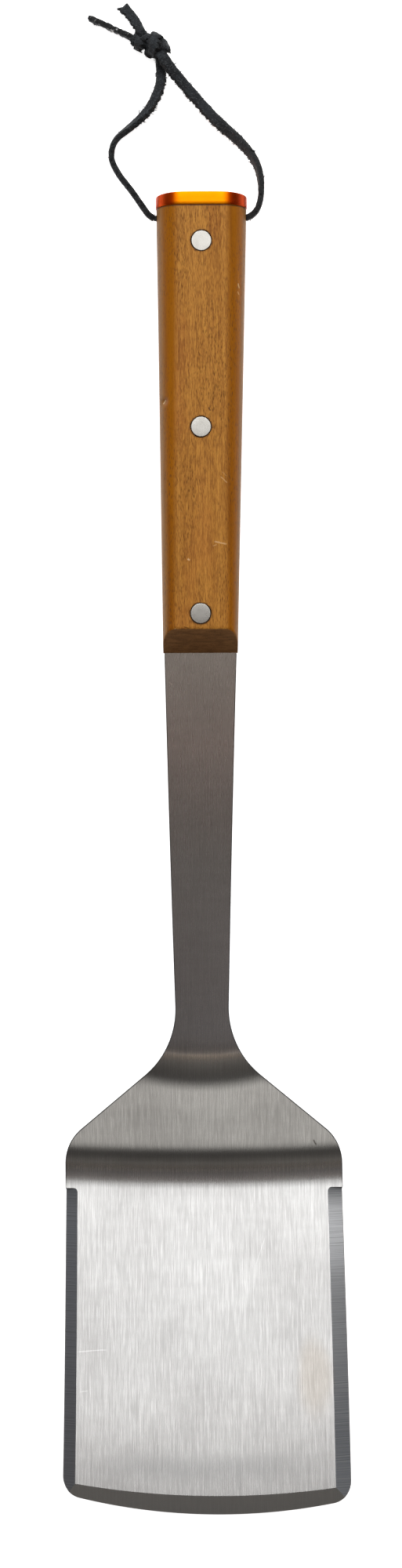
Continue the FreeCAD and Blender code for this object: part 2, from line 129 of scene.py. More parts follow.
class Nodes:
    """Short way to build a material's node tree."""

    def __init__(self, name):
        self.mat = bpy.data.materials.new(name)
        self.mat.use_nodes = True
        self.tree = self.mat.node_tree
        self.tree.nodes.clear()
        self.out = self.tree.nodes.new("ShaderNodeOutputMaterial")
        self.bsdf = self.tree.nodes.new("ShaderNodeBsdfPrincipled")
        self.tree.links.new(self.bsdf.outputs[0], self.out.inputs[0])
        self.at = self.node("TexCoord").outputs["Object"]

    def set(self, socket, value):
        if isinstance(value, bpy.types.NodeSocket):
            self.tree.links.new(value, socket)
        else:
            socket.default_value = value

    def node(self, kind, inputs=(), **props):
        n = self.tree.nodes.new("ShaderNode" + kind)
        for k, v in props.items():
            setattr(n, k, v)
        for k, v in dict(inputs).items():
            self.set(n.inputs[k], v)
        return n

    def math(self, op, a, b=0.0):
        return self.node("Math", {0: a, 1: b}, operation=op).outputs[0]

    def times(self, a, b):
        return self.math("MULTIPLY", a, b)

    def plus(self, a, b):
        return self.math("ADD", a, b)

    def minus(self, a, b):
        return self.math("SUBTRACT", a, b)

    def size(self, a):
        return self.math("ABSOLUTE", a)

    def tinted(self, a, b):
        """Two colours multiplied."""
        return self.node("VectorMath", {0: a, 1: b}, operation="MULTIPLY").outputs[0]

    def coords(self, scale=(1, 1, 1), rotate=(0, 0, 0), move=(0, 0, 0), source=None):
        """Object coordinates, or those of the source, turned, moved and scaled."""
        values = {"Vector": source or self.at, "Location": move, "Rotation": rotate, "Scale": scale}
        return self.node("Mapping", values).outputs[0]

    def xyz(self, source):
        return self.node("SeparateXYZ", {0: source}).outputs

    def noise(self, at, scale=1.0, detail=2.0, rough=0.5):
        values = {"Vector": at, "Scale": scale, "Detail": detail, "Roughness": rough}
        return self.node("TexNoise", values).outputs["Fac"]

    def grain(self, stretch, detail, rough=0.5, **placed):
        """Noise drawn out along the axes; a large stretch makes it fine."""
        return self.noise(self.coords(stretch, **placed), 1.0, detail, rough)

    def voronoi(self, at, scale=1.0):
        """Distance to the nearest of many scattered points."""
        return self.node("TexVoronoi", {"Vector": at, "Scale": scale}).outputs["Distance"]

    def ramp(self, fac, stops):
        n = self.node("ValToRGB", {"Fac": fac})
        elements = n.color_ramp.elements
        while len(elements) > 1:
            elements.remove(elements[-1])
        for i, (at, colour) in enumerate(stops):
            e = elements[0] if i == 0 else elements.new(at)
            e.position = at
            e.color = (*colour, 1.0)
        return n.outputs["Color"]

    def grey(self, fac, low, high, a=0.0, b=1.0, smooth=False):
        """Fac from low..high mapped to a..b, clamped."""
        kind = "SMOOTHSTEP" if smooth else "LINEAR"
        n = self.node("MapRange", {"Value": fac, "From Min": low, "From Max": high, "To Min": a, "To Max": b},
                      interpolation_type=kind, clamp=True)
        return n.outputs["Result"]

    def mix(self, fac, a, b):
        """Colour a where fac is 0, b where it is 1."""
        n = self.node("Mix", data_type="RGBA")
        for k, v in ((0, fac), (6, a), (7, b)):
            self.set(n.inputs[k], (*v, 1.0) if isinstance(v, tuple) else v)
        return n.outputs[2]

    def paint(self, mask, colour):
        """Lays a colour over the material's, where the mask is 1."""
        self.colour = self.mix(mask, self.colour, colour)

    def bump(self, height, strength, distance):
        return self.node("Bump", {"Height": height, "Strength": strength, "Distance": distance}).outputs[0]

    def principled(self, **values):
        for k, v in values.items():
            name = k.replace("_", " ")
            if isinstance(v, tuple) and len(v) == 3 and "Color" in name:
                v = (*v, 1.0)
            self.set(self.bsdf.inputs[name], v)
        return self.mat


def srgb(r, g, b):
    """Display colour 0..255 to linear."""
    shares = (r / 255, g / 255, b / 255)
    return tuple(c / 12.92 if c < 0.04045 else ((c + 0.055) / 1.055) ** 2.4 for c in shares)


# ---------------------------------------------------------------- mesh helpers


def new_object(name, verts, faces, material=None, smooth=True):
    mesh = bpy.data.meshes.new(name)
    mesh.from_pydata([tuple(v) for v in verts], [], [tuple(int(i) for i in f) for f in faces])
    mesh.validate()
    mesh.update()
    if smooth:
        mesh.polygons.foreach_set("use_smooth", [True] * len(mesh.polygons))
    if material:
        mesh.materials.append(material)
    obj = bpy.data.objects.new(name, mesh)
    bpy.context.scene.collection.objects.link(obj)
    return obj


def grid_faces(rows, cols, closed=False, base=0):
    """Quads between rows of a grid whose vertices run row by row."""
    faces = []
    span = cols if closed else cols - 1
    for r in range(rows - 1):
        for c in range(span):
            a = base + r * cols + c
            b = base + r * cols + (c + 1) % cols
            faces.append((a, b, b + cols, a + cols))
    return faces


def around(n):
    """Angles of n even steps round a circle."""
    return [2 * pi * q / n for q in range(n)]


def spaced(*parts):
    """Even ranges, each (start, stop, step), one after the other."""
    return np.concatenate([np.arange(*part) for part in parts])


def rounded_box(half, high, corner, corner_points, flat_points, end_point=False):
    """Section of a bar with rounded corners, as points right round it."""
    pts = []
    for sx, sz, start in ((1, 1, 0), (-1, 1, 90), (-1, -1, 180), (1, -1, 270)):
        for k in range(corner_points):
            a = radians(start + 90 * k / (corner_points - 1))
            pts.append((sx * (half - corner) + corner * cos(a), sz * (high - corner) + corner * sin(a)))
        if start in (0, 180):
            flat = np.linspace(1, -1, flat_points + 2)[1:-1]
            pts += [(sx * t * (half - corner), sz * high) for t in flat]
        elif end_point:
            pts.append((sx * half, 0.0))
    return pts


def joined(parts):
    """Vertices and faces of several meshes as one."""
    verts, faces = [], []
    for v, f in parts:
        faces += [tuple(len(verts) + i for i in q) for q in f]
        verts += v
    return verts, faces


def set_uv(obj, uv_of_vertex):
    mesh = obj.data
    layer = mesh.uv_layers.new(name="UVMap")
    index = np.empty(len(mesh.loops), int)
    mesh.loops.foreach_get("vertex_index", index)
    layer.data.foreach_set("uv", np.asarray(uv_of_vertex, float)[index].ravel())


def sharpen(obj, limit):
    """Marks edges sharper than the limit in degrees, so that smooth shading stops there."""
    obj.data.set_sharp_from_angle(angle=radians(limit))


def fix_normals(obj):
    """Turns every face outwards."""
    bm = bmesh.new()
    bm.from_mesh(obj.data)
    bmesh.ops.recalc_face_normals(bm, faces=bm.faces)
    bm.to_mesh(obj.data)
    bm.free()


def baked(obj):
    """Mesh of an object as its modifiers or its curve make it."""
    return bpy.data.meshes.new_from_object(obj.evaluated_get(bpy.context.evaluated_depsgraph_get()))


def cut(obj, *cutters):
    """Boolean difference, applied; the cutters are removed."""
    for c in cutters:
        m = obj.modifiers.new("cut", "BOOLEAN")
        m.operation = "DIFFERENCE"
        m.solver = "EXACT"
        m.object = c
    mesh = baked(obj)
    obj.modifiers.clear()
    obj.data = mesh
    for c in cutters:
        bpy.data.objects.remove(c)


def finish_piece(obj, body, slot, *nodes):
    """Puts a piece on its body and hides the nodes it replaces; slot is not used."""
    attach(obj, body)
    if nodes:
        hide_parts(*nodes)


# ---------------------------------------------------------------- camera, lights, floor


def make_camera():
    """Looks straight down from about a metre, a quarter of a degree askew."""
    cam = bpy.data.cameras.new("camera")
    cam.sensor_fit = "AUTO"
    cam.sensor_width = 36.0
    cam.lens = 64.58
    cam.clip_start, cam.clip_end = 0.01, 50.0
    obj = bpy.data.objects.new("camera", cam)
    bpy.context.scene.collection.objects.link(obj)
    obj.location = (-0.0004, 0.0222, 1.012)
    obj.rotation_euler = (0.0, 0.0, radians(-0.25))
    bpy.context.scene.camera = obj


def soft_box(name, location, size, radiance, tilt=0.0, colour=(1, 1, 1)):
    """Rectangular light that faces down, tipped about X, given by its radiance."""
    light = bpy.data.lights.new(name, "AREA")
    light.shape = "RECTANGLE"
    light.size, light.size_y = size
    light.energy = radiance * pi * size[0] * size[1]
    light.color = colour
    obj = bpy.data.objects.new(name, light)
    obj.location = location
    obj.rotation_euler = (radians(tilt), 0.0, 0.0)
    bpy.context.scene.collection.objects.link(obj)


def make_stage():
    verts = [(-6, -6, -0.0006), (6, -6, -0.0006), (6, 6, -0.0006), (-6, 6, -0.0006)]
    m = Nodes("pale_floor")
    fine = m.noise(m.at, scale=900.0, detail=3.0)
    m.principled(Base_Color=(0.93, 0.93, 0.93), Roughness=m.grey(fine, 0.3, 0.7, 0.75, 0.85),
                 Emission_Color=(1.0, 1.0, 1.0), Emission_Strength=0.85, Specular_IOR_Level=0.2)
    floor = new_object("floor", verts, [(0, 1, 2, 3)], m.mat, smooth=False)
    world = bpy.data.worlds.new("studio")
    world.use_nodes = True
    nt = world.node_tree
    nt.nodes["Background"].inputs[0].default_value = (1.0, 0.93, 0.87, 1)
    nt.nodes["Background"].inputs[1].default_value = 0.088
    seen = nt.nodes.new("ShaderNodeBackground")
    seen.inputs[0].default_value = (0.9, 0.9, 0.9, 1)
    seen.inputs[1].default_value = 0.95
    path = nt.nodes.new("ShaderNodeLightPath")
    both = nt.nodes.new("ShaderNodeMixShader")
    nt.links.new(path.outputs["Is Camera Ray"], both.inputs[0])
    nt.links.new(nt.nodes["Background"].outputs[0], both.inputs[1])
    nt.links.new(seen.outputs[0], both.inputs[2])
    nt.links.new(both.outputs[0], nt.nodes["World Output"].inputs[0])
    bpy.context.scene.world = world
    soft_box("key", (0.12, 0.66, 1.3), (1.80, 0.8), 1.85)
    soft_box("front_fill", (0.1, -1.68, 1.3), (1.7, 0.66), 0.80, colour=(1.0, 0.97, 0.92))
    soft_box("front_edge", (0.1, -1.40, 1.305), (1.7, 0.15), 0.50, colour=(1.0, 0.97, 0.92))
    soft_box("lower_glow", (0.0, -0.72, 1.31), (1.5, 0.56), 0.032, colour=(1.0, 0.92, 0.8))
    soft_box("middle_glow", (0.0, 0.02, 1.31), (1.7, 0.6), 0.082, colour=(1.0, 0.79, 0.71))
    soft_box("warm_line", (0.0, -0.27, 1.32), (1.5, 0.05), 0.56, colour=(1.0, 0.74, 0.5))
    soft_box("cool_side", (-1.45, 0.95, 1.3), (0.8, 0.9), 0.20, colour=(0.78, 0.88, 1.0))
    soft_box("far_fill", (0.0, 2.3, 1.7), (2.6, 1.2), 6.0, tilt=-53)
    bpy.context.scene.view_settings.view_transform = "Standard"


# ---------------------------------------------------------------- lace


def follow(name, points):
    """Points along the smooth curve that these control points of a route make."""
    curve = bpy.data.curves.new(name, "CURVE")
    curve.dimensions = "3D"
    s = curve.splines.new("NURBS")
    s.points.add(len(points) - 1)
    for p, (x, y, z) in zip(s.points, points):
        p.co = (x, HOLE_Y / 1000 + y, z, 1.0)
    s.order_u = 3
    s.use_endpoint_u = True
    curve.resolution_u = 16
    obj = bpy.data.objects.new(name, curve)
    bpy.context.scene.collection.objects.link(obj)
    mesh = baked(obj)
    out = np.array([v.co for v in mesh.vertices], float)
    bpy.data.objects.remove(obj)
    bpy.data.meshes.remove(mesh)
    return out


def directions(pts):
    """Unit tangents of a line of points."""
    tangent = np.gradient(pts, axis=0)
    return tangent / np.linalg.norm(tangent, axis=1)[:, None]


def wide_way(t, angle):
    """Direction of a strip's width along the tangent t: level at angle 0, upright at a quarter turn."""
    side = t.cross(Vector((0, 0, 1))).normalized()
    return side * cos(angle) + side.cross(t).normalized() * sin(angle)


def resample(line, step):
    """Even points along a dense polyline."""
    seg = np.linalg.norm(np.diff(line, axis=0), axis=1)
    s = np.concatenate([[0], np.cumsum(seg)])
    n = max(3, int(round(s[-1] / step)) + 1)
    at = np.linspace(0, s[-1], n)
    return np.column_stack([np.interp(at, s, line[:, k]) for k in range(3)])


def band(pts, across_of, width, thick, seed, rough, blunt=0.0006, flare=None, frayed=-1, slant=(0.0, 0.0)):
    """Strip of leather along dense even points; across_of(i, share) gives the direction of its width.

    slant lengthens the far end's cut: by its first part on one edge, by its second towards both edges."""
    n = len(pts)
    at = np.concatenate([[0], np.cumsum(np.linalg.norm(np.diff(pts, axis=0), axis=1))])
    tangent = directions(pts)
    section = rounded_box(width / 2, thick / 2, thick * 0.36, 5, 7, True)
    m, total = len(section), at[-1]
    verts, uv = [], []
    for i in range(n):
        t = Vector(tangent[i])
        across = across_of(i, at[i] / total)
        across = (across - t * across.dot(t)).normalized()
        through = t.cross(across).normalized()
        edge = min(at[i] / blunt, (total - at[i]) / blunt, 1.0)
        shrink = 0.82 + 0.18 * sqrt(max(0.0, 1 - (1 - edge) ** 2))
        swell = 1.0 + 0.06 * noise.noise(Vector((at[i] * 260 + seed, seed, 0)))
        if flare:
            swell *= flare(at[i] / total)
        for u, v in section:
            wobble = noise.noise(Vector((at[i] * 900 + seed * 3, u * 700, v * 700 + seed))) * rough
            nap = 0.0
            if abs(u) > width * 0.36:
                nap = rough * 6.5 * noise.noise(Vector((at[i] * 1000, v * 900 + seed, seed)))
                nap += rough * 6.0 * noise.noise(Vector((at[i] * 4200, v * 2500 + seed, seed)))
                nap *= 1.0 if frayed * u > 0 else -0.22
            co = Vector(pts[i]) + across * (u * shrink * swell + frayed * nap)
            co += through * (v * shrink + wobble)
            near_end = max(0.0, 1 - (total - at[i]) / CUT_LENGTH) ** 2
            side = 2 * u / width
            co += t * near_end * (slant[0] * side + slant[1] * side * side)
            verts.append(co)
            uv.append((u * 1000, at[i] * 1000))
    faces = grid_faces(n, m, closed=True)
    for base in (0, (n - 1) * m):
        centre = len(verts)
        verts.append(sum((verts[base + j] for j in range(m)), Vector()) / m)
        uv.append((0, 0))
        for j in range(m):
            tri = (base + j, base + (j + 1) % m, centre)
            faces.append(tri[::-1] if base == 0 else tri)
    return verts, [f[::-1] for f in faces], uv


def strip_object(name, bands, mat):
    """One object from several bands."""
    obj = new_object(name, *joined([(verts, faces) for verts, faces, _ in bands]), mat)
    set_uv(obj, [point for _, _, uv in bands for point in uv])
    return obj


def lace_strip(name, line, wide_angle, mat, seed, thick=LACE_THICK, step=0.0003, rough=0.00009, **look):
    """Flat leather strip along a line. wide_angle(t) turns its width from level (0) to upright (pi/2)."""
    pts = resample(line, step)
    tangent = directions(pts)

    def across_of(i, share):
        return wide_way(Vector(tangent[i]), wide_angle(share))

    return strip_object(name, [band(pts, across_of, LACE_WIDTH, thick, seed, rough, **look)], mat)


def fibres(name, line, wide_angle, count, seed, mat, inner):
    """Short loose fibres along the strip's cut edge, as thin tapered blades."""
    rng = np.random.default_rng(seed)
    pts = resample(line, 0.0002)
    tangent = directions(pts)
    verts, faces = [], []
    for _ in range(count):
        f = rng.uniform(0.0, 1.0)
        i = int(f * (len(pts) - 1))
        t = Vector(tangent[i])
        across = wide_way(t, wide_angle(f))
        through = t.cross(across).normalized()
        across *= inner if rng.random() < 0.72 else -inner
        root = Vector(pts[i]) + across * LACE_WIDTH * 0.47 + through * rng.uniform(-0.42, 0.42) * LACE_THICK
        lean = across * rng.uniform(0.35, 1.0) + t * rng.uniform(-1.0, 1.0) + through * rng.uniform(-0.7, 0.7)
        lean.normalize()
        size = FIBRE_LENGTH * rng.uniform(0.3, 1.0) ** 1.5
        w = rng.uniform(0.00009, 0.00022)
        bend = t * rng.uniform(-0.3, 0.3) * size
        b = lean.cross(Vector(rng.normal(size=3))).normalized()
        c = lean.cross(b).normalized()
        base = len(verts)
        for s, r in ((0.0, 1.0), (0.55, 0.8), (1.0, 0.25)):
            mid = root + lean * size * s + bend * s * s
            for q in range(3):
                ang = 2 * pi * q / 3
                p = mid + (b * cos(ang) + c * sin(ang)) * w * r
                p.z = max(p.z, 0.0001)
                verts.append(p)
        faces += grid_faces(3, 3, closed=True, base=base)
        faces.append((base + 6, base + 7, base + 8))
    return new_object(name, verts, faces, mat)


def leather_material(name="black_leather", specks=0.0):
    m = Nodes(name)
    uv = m.node("TexCoord").outputs["UV"]
    u = m.xyz(uv)[0]
    grain = m.voronoi(m.at, scale=2600.0)
    pores = m.noise(m.at, scale=1800.0, detail=5.0, rough=0.62)
    wear = m.noise(m.at, scale=220.0, detail=4.0, rough=0.6)
    cut_edge = m.grey(m.size(u), 1.25, 1.5)
    m.colour = m.mix(m.grey(wear, 0.35, 0.7), srgb(20, 22, 26), srgb(46, 50, 54))
    m.paint(m.grey(pores, 0.52, 0.68, 0.0, 0.75), srgb(82, 86, 89))
    m.paint(m.times(cut_edge, 0.55), srgb(44, 43, 42))
    pale = m.noise(m.coords(move=(0.2, 0.1, 0.0)), scale=620.0, detail=3.0, rough=0.6)
    m.paint(m.grey(pale, 0.575, 0.64, 0.0, specks), srgb(205, 205, 205))
    rough = m.grey(wear, 0.3, 0.7, 0.52, 0.74)
    h = m.plus(m.times(grain, 0.6), m.times(pores, 0.8))
    fluff = m.noise(m.at, scale=5200.0, detail=4.0, rough=0.7)
    h = m.plus(h, m.times(m.times(fluff, cut_edge), 1.3))
    return m.principled(Base_Color=m.colour, Roughness=rough, Normal=m.bump(h, 1.0, 0.0003),
                        Sheen_Weight=0.03, Sheen_Roughness=0.5, Specular_IOR_Level=0.22)


def share_between(t, start, length):
    """0 before start, 1 past start + length, even between."""
    return min(1.0, max(0.0, (t - start) / length))


def upright(_):
    return radians(90)


def nearly_level(_):
    return radians(10)


def turn_left(t):
    """The left strand stands on edge at the handle and lies flat at the knot."""
    return radians(90) * (1 - share_between(t, 0.42, 0.42))


def turn_right(t):
    return radians(90) * (1 - share_between(t, 0.15, 0.5))


def broad_right(t):
    return 1.0 + 0.17 * share_between(t, 0.3, 0.25)


def broad_tail(t):
    return 1.0 + 0.10 * t + 0.28 * share_between(t, 0.82, 0.18) ** 2


def make_lace():
    leather = leather_material()
    speckled = leather_material("black_leather_specks", 0.9)
    left, right = follow("left", LEFT_ROUTE), follow("right", RIGHT_ROUTE)
    long, short = follow("long", LONG_TAIL), follow("short", SHORT_TAIL)
    thread = np.array([(side * THREAD_REACH, HOLE_Y / 1000, HOLE_Z / 1000) for side in (-1, 1)])
    strip_l = lace_strip("lace_strip_left", left, turn_left, leather, 1.7, SEEN_THICK, frayed=1)
    strip_r = lace_strip("lace_strip_right", right, turn_right, leather, 5.2, SEEN_THICK, flare=broad_right)
    threaded = lace_strip("lace_in_hole", thread, upright, leather, 3.1, step=0.001)
    tail_long = lace_strip("lace_end_long", long, upright, speckled, 8.4, TAIL_THICK, rough=0.0003,
                           slant=(0.0003, 0.0))
    tail_short = lace_strip("lace_end_short", short, nearly_level, leather, 9.9, flare=broad_tail,
                            slant=(-0.0007, 0.0009))
    fuzz_l = fibres("lace_fuzz_left", left, turn_left, 460, 3, leather, inner=1)
    fuzz_r = fibres("lace_fuzz_right", right, turn_right, 560, 4, leather, inner=-1)
    knot, core = make_knot(leather)
    for obj, *nodes in ((strip_l, "lace_left"), (strip_r, "lace_right"), (threaded, "lace_threaded"),
                        (tail_long, "lace_tail_long"), (tail_short, "lace_tail_short"), (knot, "lace_knot"),
                        (core,), (fuzz_l,), (fuzz_r,)):
        finish_piece(obj, "lanyard", "lace", *nodes)


def ellipsoid(centre, radii, seed):
    """Lumpy ellipsoid that leans like the knot, as grid vertices and faces."""
    seg, rings, wrinkle = 72, 40, 0.0006
    verts = []
    rot = Matrix.Rotation(KNOT_LEAN, 3, "Z")
    for r in range(rings + 1):
        phi = pi * r / rings
        for s in range(seg):
            th = 2 * pi * s / seg
            d = Vector((sin(phi) * cos(th), sin(phi) * sin(th), cos(phi)))
            k = 1 + noise.noise(d * 1.7 + Vector((seed, 0, 0))) * 0.08
            p = Vector((d.x * radii[0], d.y * radii[1], d.z * radii[2])) * k
            p += d * wrinkle * noise.noise(d * 9 + Vector((0, seed, 0)))
            verts.append(Vector(centre) + rot @ p)
    return verts, grid_faces(rings + 1, seg, closed=True)


def wrap(centre, axis, radii, start, sweep, drift, lean, width, thick, seed, tuck):
    """Turn of strip round the knot's axis. It drifts along the axis, leans, and tucks its ends inwards."""
    u = Vector((*axis, 0)).normalized()
    w = Vector((0, 0, 1))
    v = -w.cross(u).normalized()
    n = 90
    pts, outs = [], []
    for i in range(n):
        f = i / (n - 1)
        a = radians(start + sweep * f)
        dip = 1 - tuck * (max(0.0, 1 - f / 0.16) ** 2 + max(0.0, 1 - (1 - f) / 0.16) ** 2)
        k = dip * (1 + 0.05 * noise.noise(Vector((cos(a) * 1.3, sin(a) * 1.3, seed))))
        out = v * (cos(a) * radii[0] * k) + w * (sin(a) * radii[1] * k)
        pts.append(Vector(centre) + out + u * (drift * (f - 0.5) + lean * cos(a)))
        outs.append(out.normalized())

    def across_of(i, share):
        return (u + outs[i] * 0.12 * sin(6 * share + seed)).normalized()

    return band(np.array(pts), across_of, width, thick, seed, rough=0.00026, blunt=0.0004)


# The knot: a big lump round both strands and a smaller one where the tails leave, in metres
KNOT_BIG = Vector((-0.0151, HOLE_Y / 1000 + 0.0631, 0.0044))
KNOT_SMALL = Vector((-0.0215, HOLE_Y / 1000 + 0.0646, 0.0034))
# Each turn: lump, offset, axis, radii, start, sweep, drift, lean, width, thickness, seed, tuck
KNOT_TURNS = (
    (KNOT_BIG, (-0.0012, 0.0003, 0.0), (-0.95, 0.30), (0.0037, 0.0031), -30, 395, 0.0012, 0.0006,
     0.0031, 0.0015, 1.3, 0.5),
    (KNOT_BIG, (0.0009, -0.0010, 0.0), (-0.55, 0.83), (0.0027, 0.0028), 60, 380, -0.0010, -0.0007,
     0.0028, 0.0015, 4.1, 0.5),
    (KNOT_BIG, (-0.0012, -0.0006, 0.0002), (0.30, 0.95), (0.0030, 0.0030), 200, 170, 0.0, 0.0010,
     0.0022, 0.0012, 2.6, 0.5),
    (KNOT_SMALL, (-0.0004, -0.0002, 0.0), (-0.90, 0.44), (0.0021, 0.0020), 20, 390, 0.0010, 0.0008,
     0.0026, 0.0013, 7.7, 0.4),
    (KNOT_SMALL, (0.0021, 0.0004, 0.0), (-0.80, 0.60), (0.0023, 0.0023), 120, 380, 0.0008, -0.0006,
     0.0022, 0.0012, 9.2, 0.4),
)
# Each lobe of the core: lump, offset, radii, seed
KNOT_LOBES = (
    (KNOT_BIG, (0.0, 0.0, 0.0), (0.0042, 0.0034, 0.0025), 1.0),
    (KNOT_SMALL, (0.0, 0.0, 0.0), (0.0033, 0.0022, 0.0018), 2.0),
    (KNOT_BIG, (0.0023, -0.0006, 0.0), (0.0015, 0.0014, 0.0014), 3.0),
    (KNOT_BIG, (-0.0026, -0.0028, -0.0004), (0.0017, 0.0015, 0.0014), 4.0),
    (KNOT_SMALL, (-0.0003, -0.0014, -0.0003), (0.0013, 0.0012, 0.0012), 5.0),
    (KNOT_SMALL, (0.0014, 0.0024, 0.0004), (0.0020, 0.0017, 0.0014), 6.0),
)


def make_knot(leather):
    turns = [wrap(lump + Vector(offset), *rest) for lump, offset, *rest in KNOT_TURNS]
    lobes = [ellipsoid(lump + Vector(offset), *rest) for lump, offset, *rest in KNOT_LOBES]
    knot = strip_object("lace_knot_wraps", turns, leather)
    return knot, new_object("lace_knot_core", *joined(lobes), leather)


# ---------------------------------------------------------------- steel blank


def surface(d, offset):
    """Height and slope angle of the blank's line at this offset from its middle, at distance d."""
    d = np.asarray(d, float)
    t1, t2 = BEND_1_RADIUS * tan(SLOPE / 2), BEND_2_RADIUS * tan((SLOPE + BLADE) / 2)
    drop = (BEND_2 - BEND_1) * tan(SLOPE)
    r1, r2 = BEND_1_RADIUS + offset, BEND_2_RADIUS - offset
    c1 = (BEND_1 - t1, -BEND_1_RADIUS)
    c2 = (BEND_2 - t2 * cos(SLOPE) + BEND_2_RADIUS * sin(SLOPE),
          -drop + t2 * sin(SLOPE) + BEND_2_RADIUS * cos(SLOPE))
    e1, s2, e2 = c1[0] + r1 * sin(SLOPE), c2[0] - r2 * sin(SLOPE), c2[0] + r2 * sin(BLADE)
    a1 = np.arcsin(np.clip((d - c1[0]) / r1, -1, 1))
    a2 = np.arcsin(np.clip((d - c2[0]) / r2, -1, 1))
    down = offset * cos(SLOPE) - (d - BEND_1 - offset * sin(SLOPE)) * tan(SLOPE)
    rise = -drop + offset * cos(BLADE) + (d - BEND_2 + offset * sin(BLADE)) * tan(BLADE)
    stretches = [d < c1[0], d < e1, d < s2, d < e2]
    heights = [offset + 0 * d, c1[1] + r1 * np.cos(a1), down, c2[1] - r2 * np.cos(a2)]
    z = np.select(stretches, heights, rise)
    angle = np.select(stretches, [0 * d, -a1, -SLOPE + 0 * d, a2], BLADE)
    return z, angle


def shading_slope(x, d):
    """Slope angle the light sees on top: the bends run out gently and come a little sooner at the edges."""
    lead = np.where(d < 328, 2.6 * (x / 20) ** 2, 1.2 * (x / 47) ** 2)
    lead = np.minimum(lead, 2.8)
    return np.mean([surface(d + lead + k, SHEET / 2)[1] for k in (-2.4, -1.2, 0.0, 1.2, 2.4)], axis=0)


def handle_half(d):
    """Half the handle's width."""
    return BUTT_HALF + (d - CAP_LENGTH) / (HANDLE_END - CAP_LENGTH) * (FRONT_HALF_WIDTH - BUTT_HALF)


def blade_half(d):
    """Half the blade's width."""
    return HEEL_HALF + (d - SHOULDER_AT) / (TIP - SHOULDER_AT) * (FRONT_HALF - HEEL_HALF)


def fillet(before, corner, after, radius, n):
    """Points of the arc that rounds a corner in plan."""
    p, a, b = (np.array(v, float) for v in (corner, before, after))
    ua, ub = (a - p) / np.linalg.norm(a - p), (b - p) / np.linalg.norm(b - p)
    half = np.arccos(np.clip(ua @ ub, -1, 1)) / 2
    centre = p + (ua + ub) / np.linalg.norm(ua + ub) * radius / sin(half)
    s, e = p + ua * radius / tan(half) - centre, p + ub * radius / tan(half) - centre
    a0 = np.arctan2(s[1], s[0])
    da = (np.arctan2(e[1], e[0]) - a0 + pi) % (2 * pi) - pi
    angles = a0 + np.linspace(0, da, n)
    return [tuple(centre + radius * np.array([np.cos(t), np.sin(t)])) for t in angles]


def side_inner(side, d):
    """Where a side bevel begins, measured across from the middle."""
    share = (d - BEVEL_START) / (TIP - BEVEL_START)
    edge = blade_half(BEVEL_START) + share * (FRONT_HALF - EDGE_STEP - blade_half(BEVEL_START))
    return edge - BEVEL_WIDTH[side]


def front_reach(x, d):
    """How far past the front bevel's inner arc a point is."""
    yb = (TIP - d) / cos(BLADE)
    return np.hypot(x - APEX_X, yb - FRONT_BEVEL_RADIUS - FRONT_BEVEL) - FRONT_BEVEL_RADIUS


def side_depth(side, x, d):
    """Depth that a side bevel takes away."""
    reach = side * x - side_inner(side, d)
    return np.where(d > BEVEL_START, np.maximum(0, reach) * BEVEL_DEPTH / BEVEL_WIDTH[side], 0)


def ground(x, d):
    """Depth ground away, and which bevel does it: 0 none, 1 left, 2 right, 3 front."""
    x, d = np.asarray(x, float), np.asarray(d, float)
    left, right = side_depth(-1, x, d), side_depth(1, x, d)
    cd = BEVEL_START + RUN_OUT
    for side, depth in ((-1, left), (1, right)):
        cx = side_inner(side, cd) + RUN_OUT
        depth[(side * x < cx) & (d < cd) & (np.hypot(side * x - cx, d - cd) > RUN_OUT)] = 0
    front = np.where(d > TIP - 30, np.maximum(0, front_reach(x, d)) * BEVEL_DEPTH / FRONT_BEVEL, 0)
    depth = np.maximum(np.maximum(left, right), front)
    which_side = np.where(left > right, 1, 2)
    region = np.where(depth < 1e-9, 0, np.where(front >= np.maximum(left, right), 3, which_side))
    return depth, region


def between(p, q, n):
    """Points inside the straight stretch from p to q, which n points would divide."""
    p, q = np.array(p), np.array(q)
    return [tuple(p + (q - p) * t) for t in np.linspace(0, 1, n)[1:-1]]


def corner_arc(side):
    """Arc that rounds a front corner of the blade, from its side to its front."""
    d = TIP - 10.0
    for _ in range(60):
        x = blade_half(d) - EDGE_STEP - CORNER
        across = side * x - APEX_X
        d = TIP - FRONT_RADIUS + sqrt((FRONT_RADIUS - CORNER) ** 2 - across**2)
    stop = np.arctan2(d - (TIP - FRONT_RADIUS), side * across)
    arc = [(side * (x + CORNER * np.cos(t)), d + CORNER * np.sin(t)) for t in np.linspace(0.0, stop, 20)]
    return d, arc


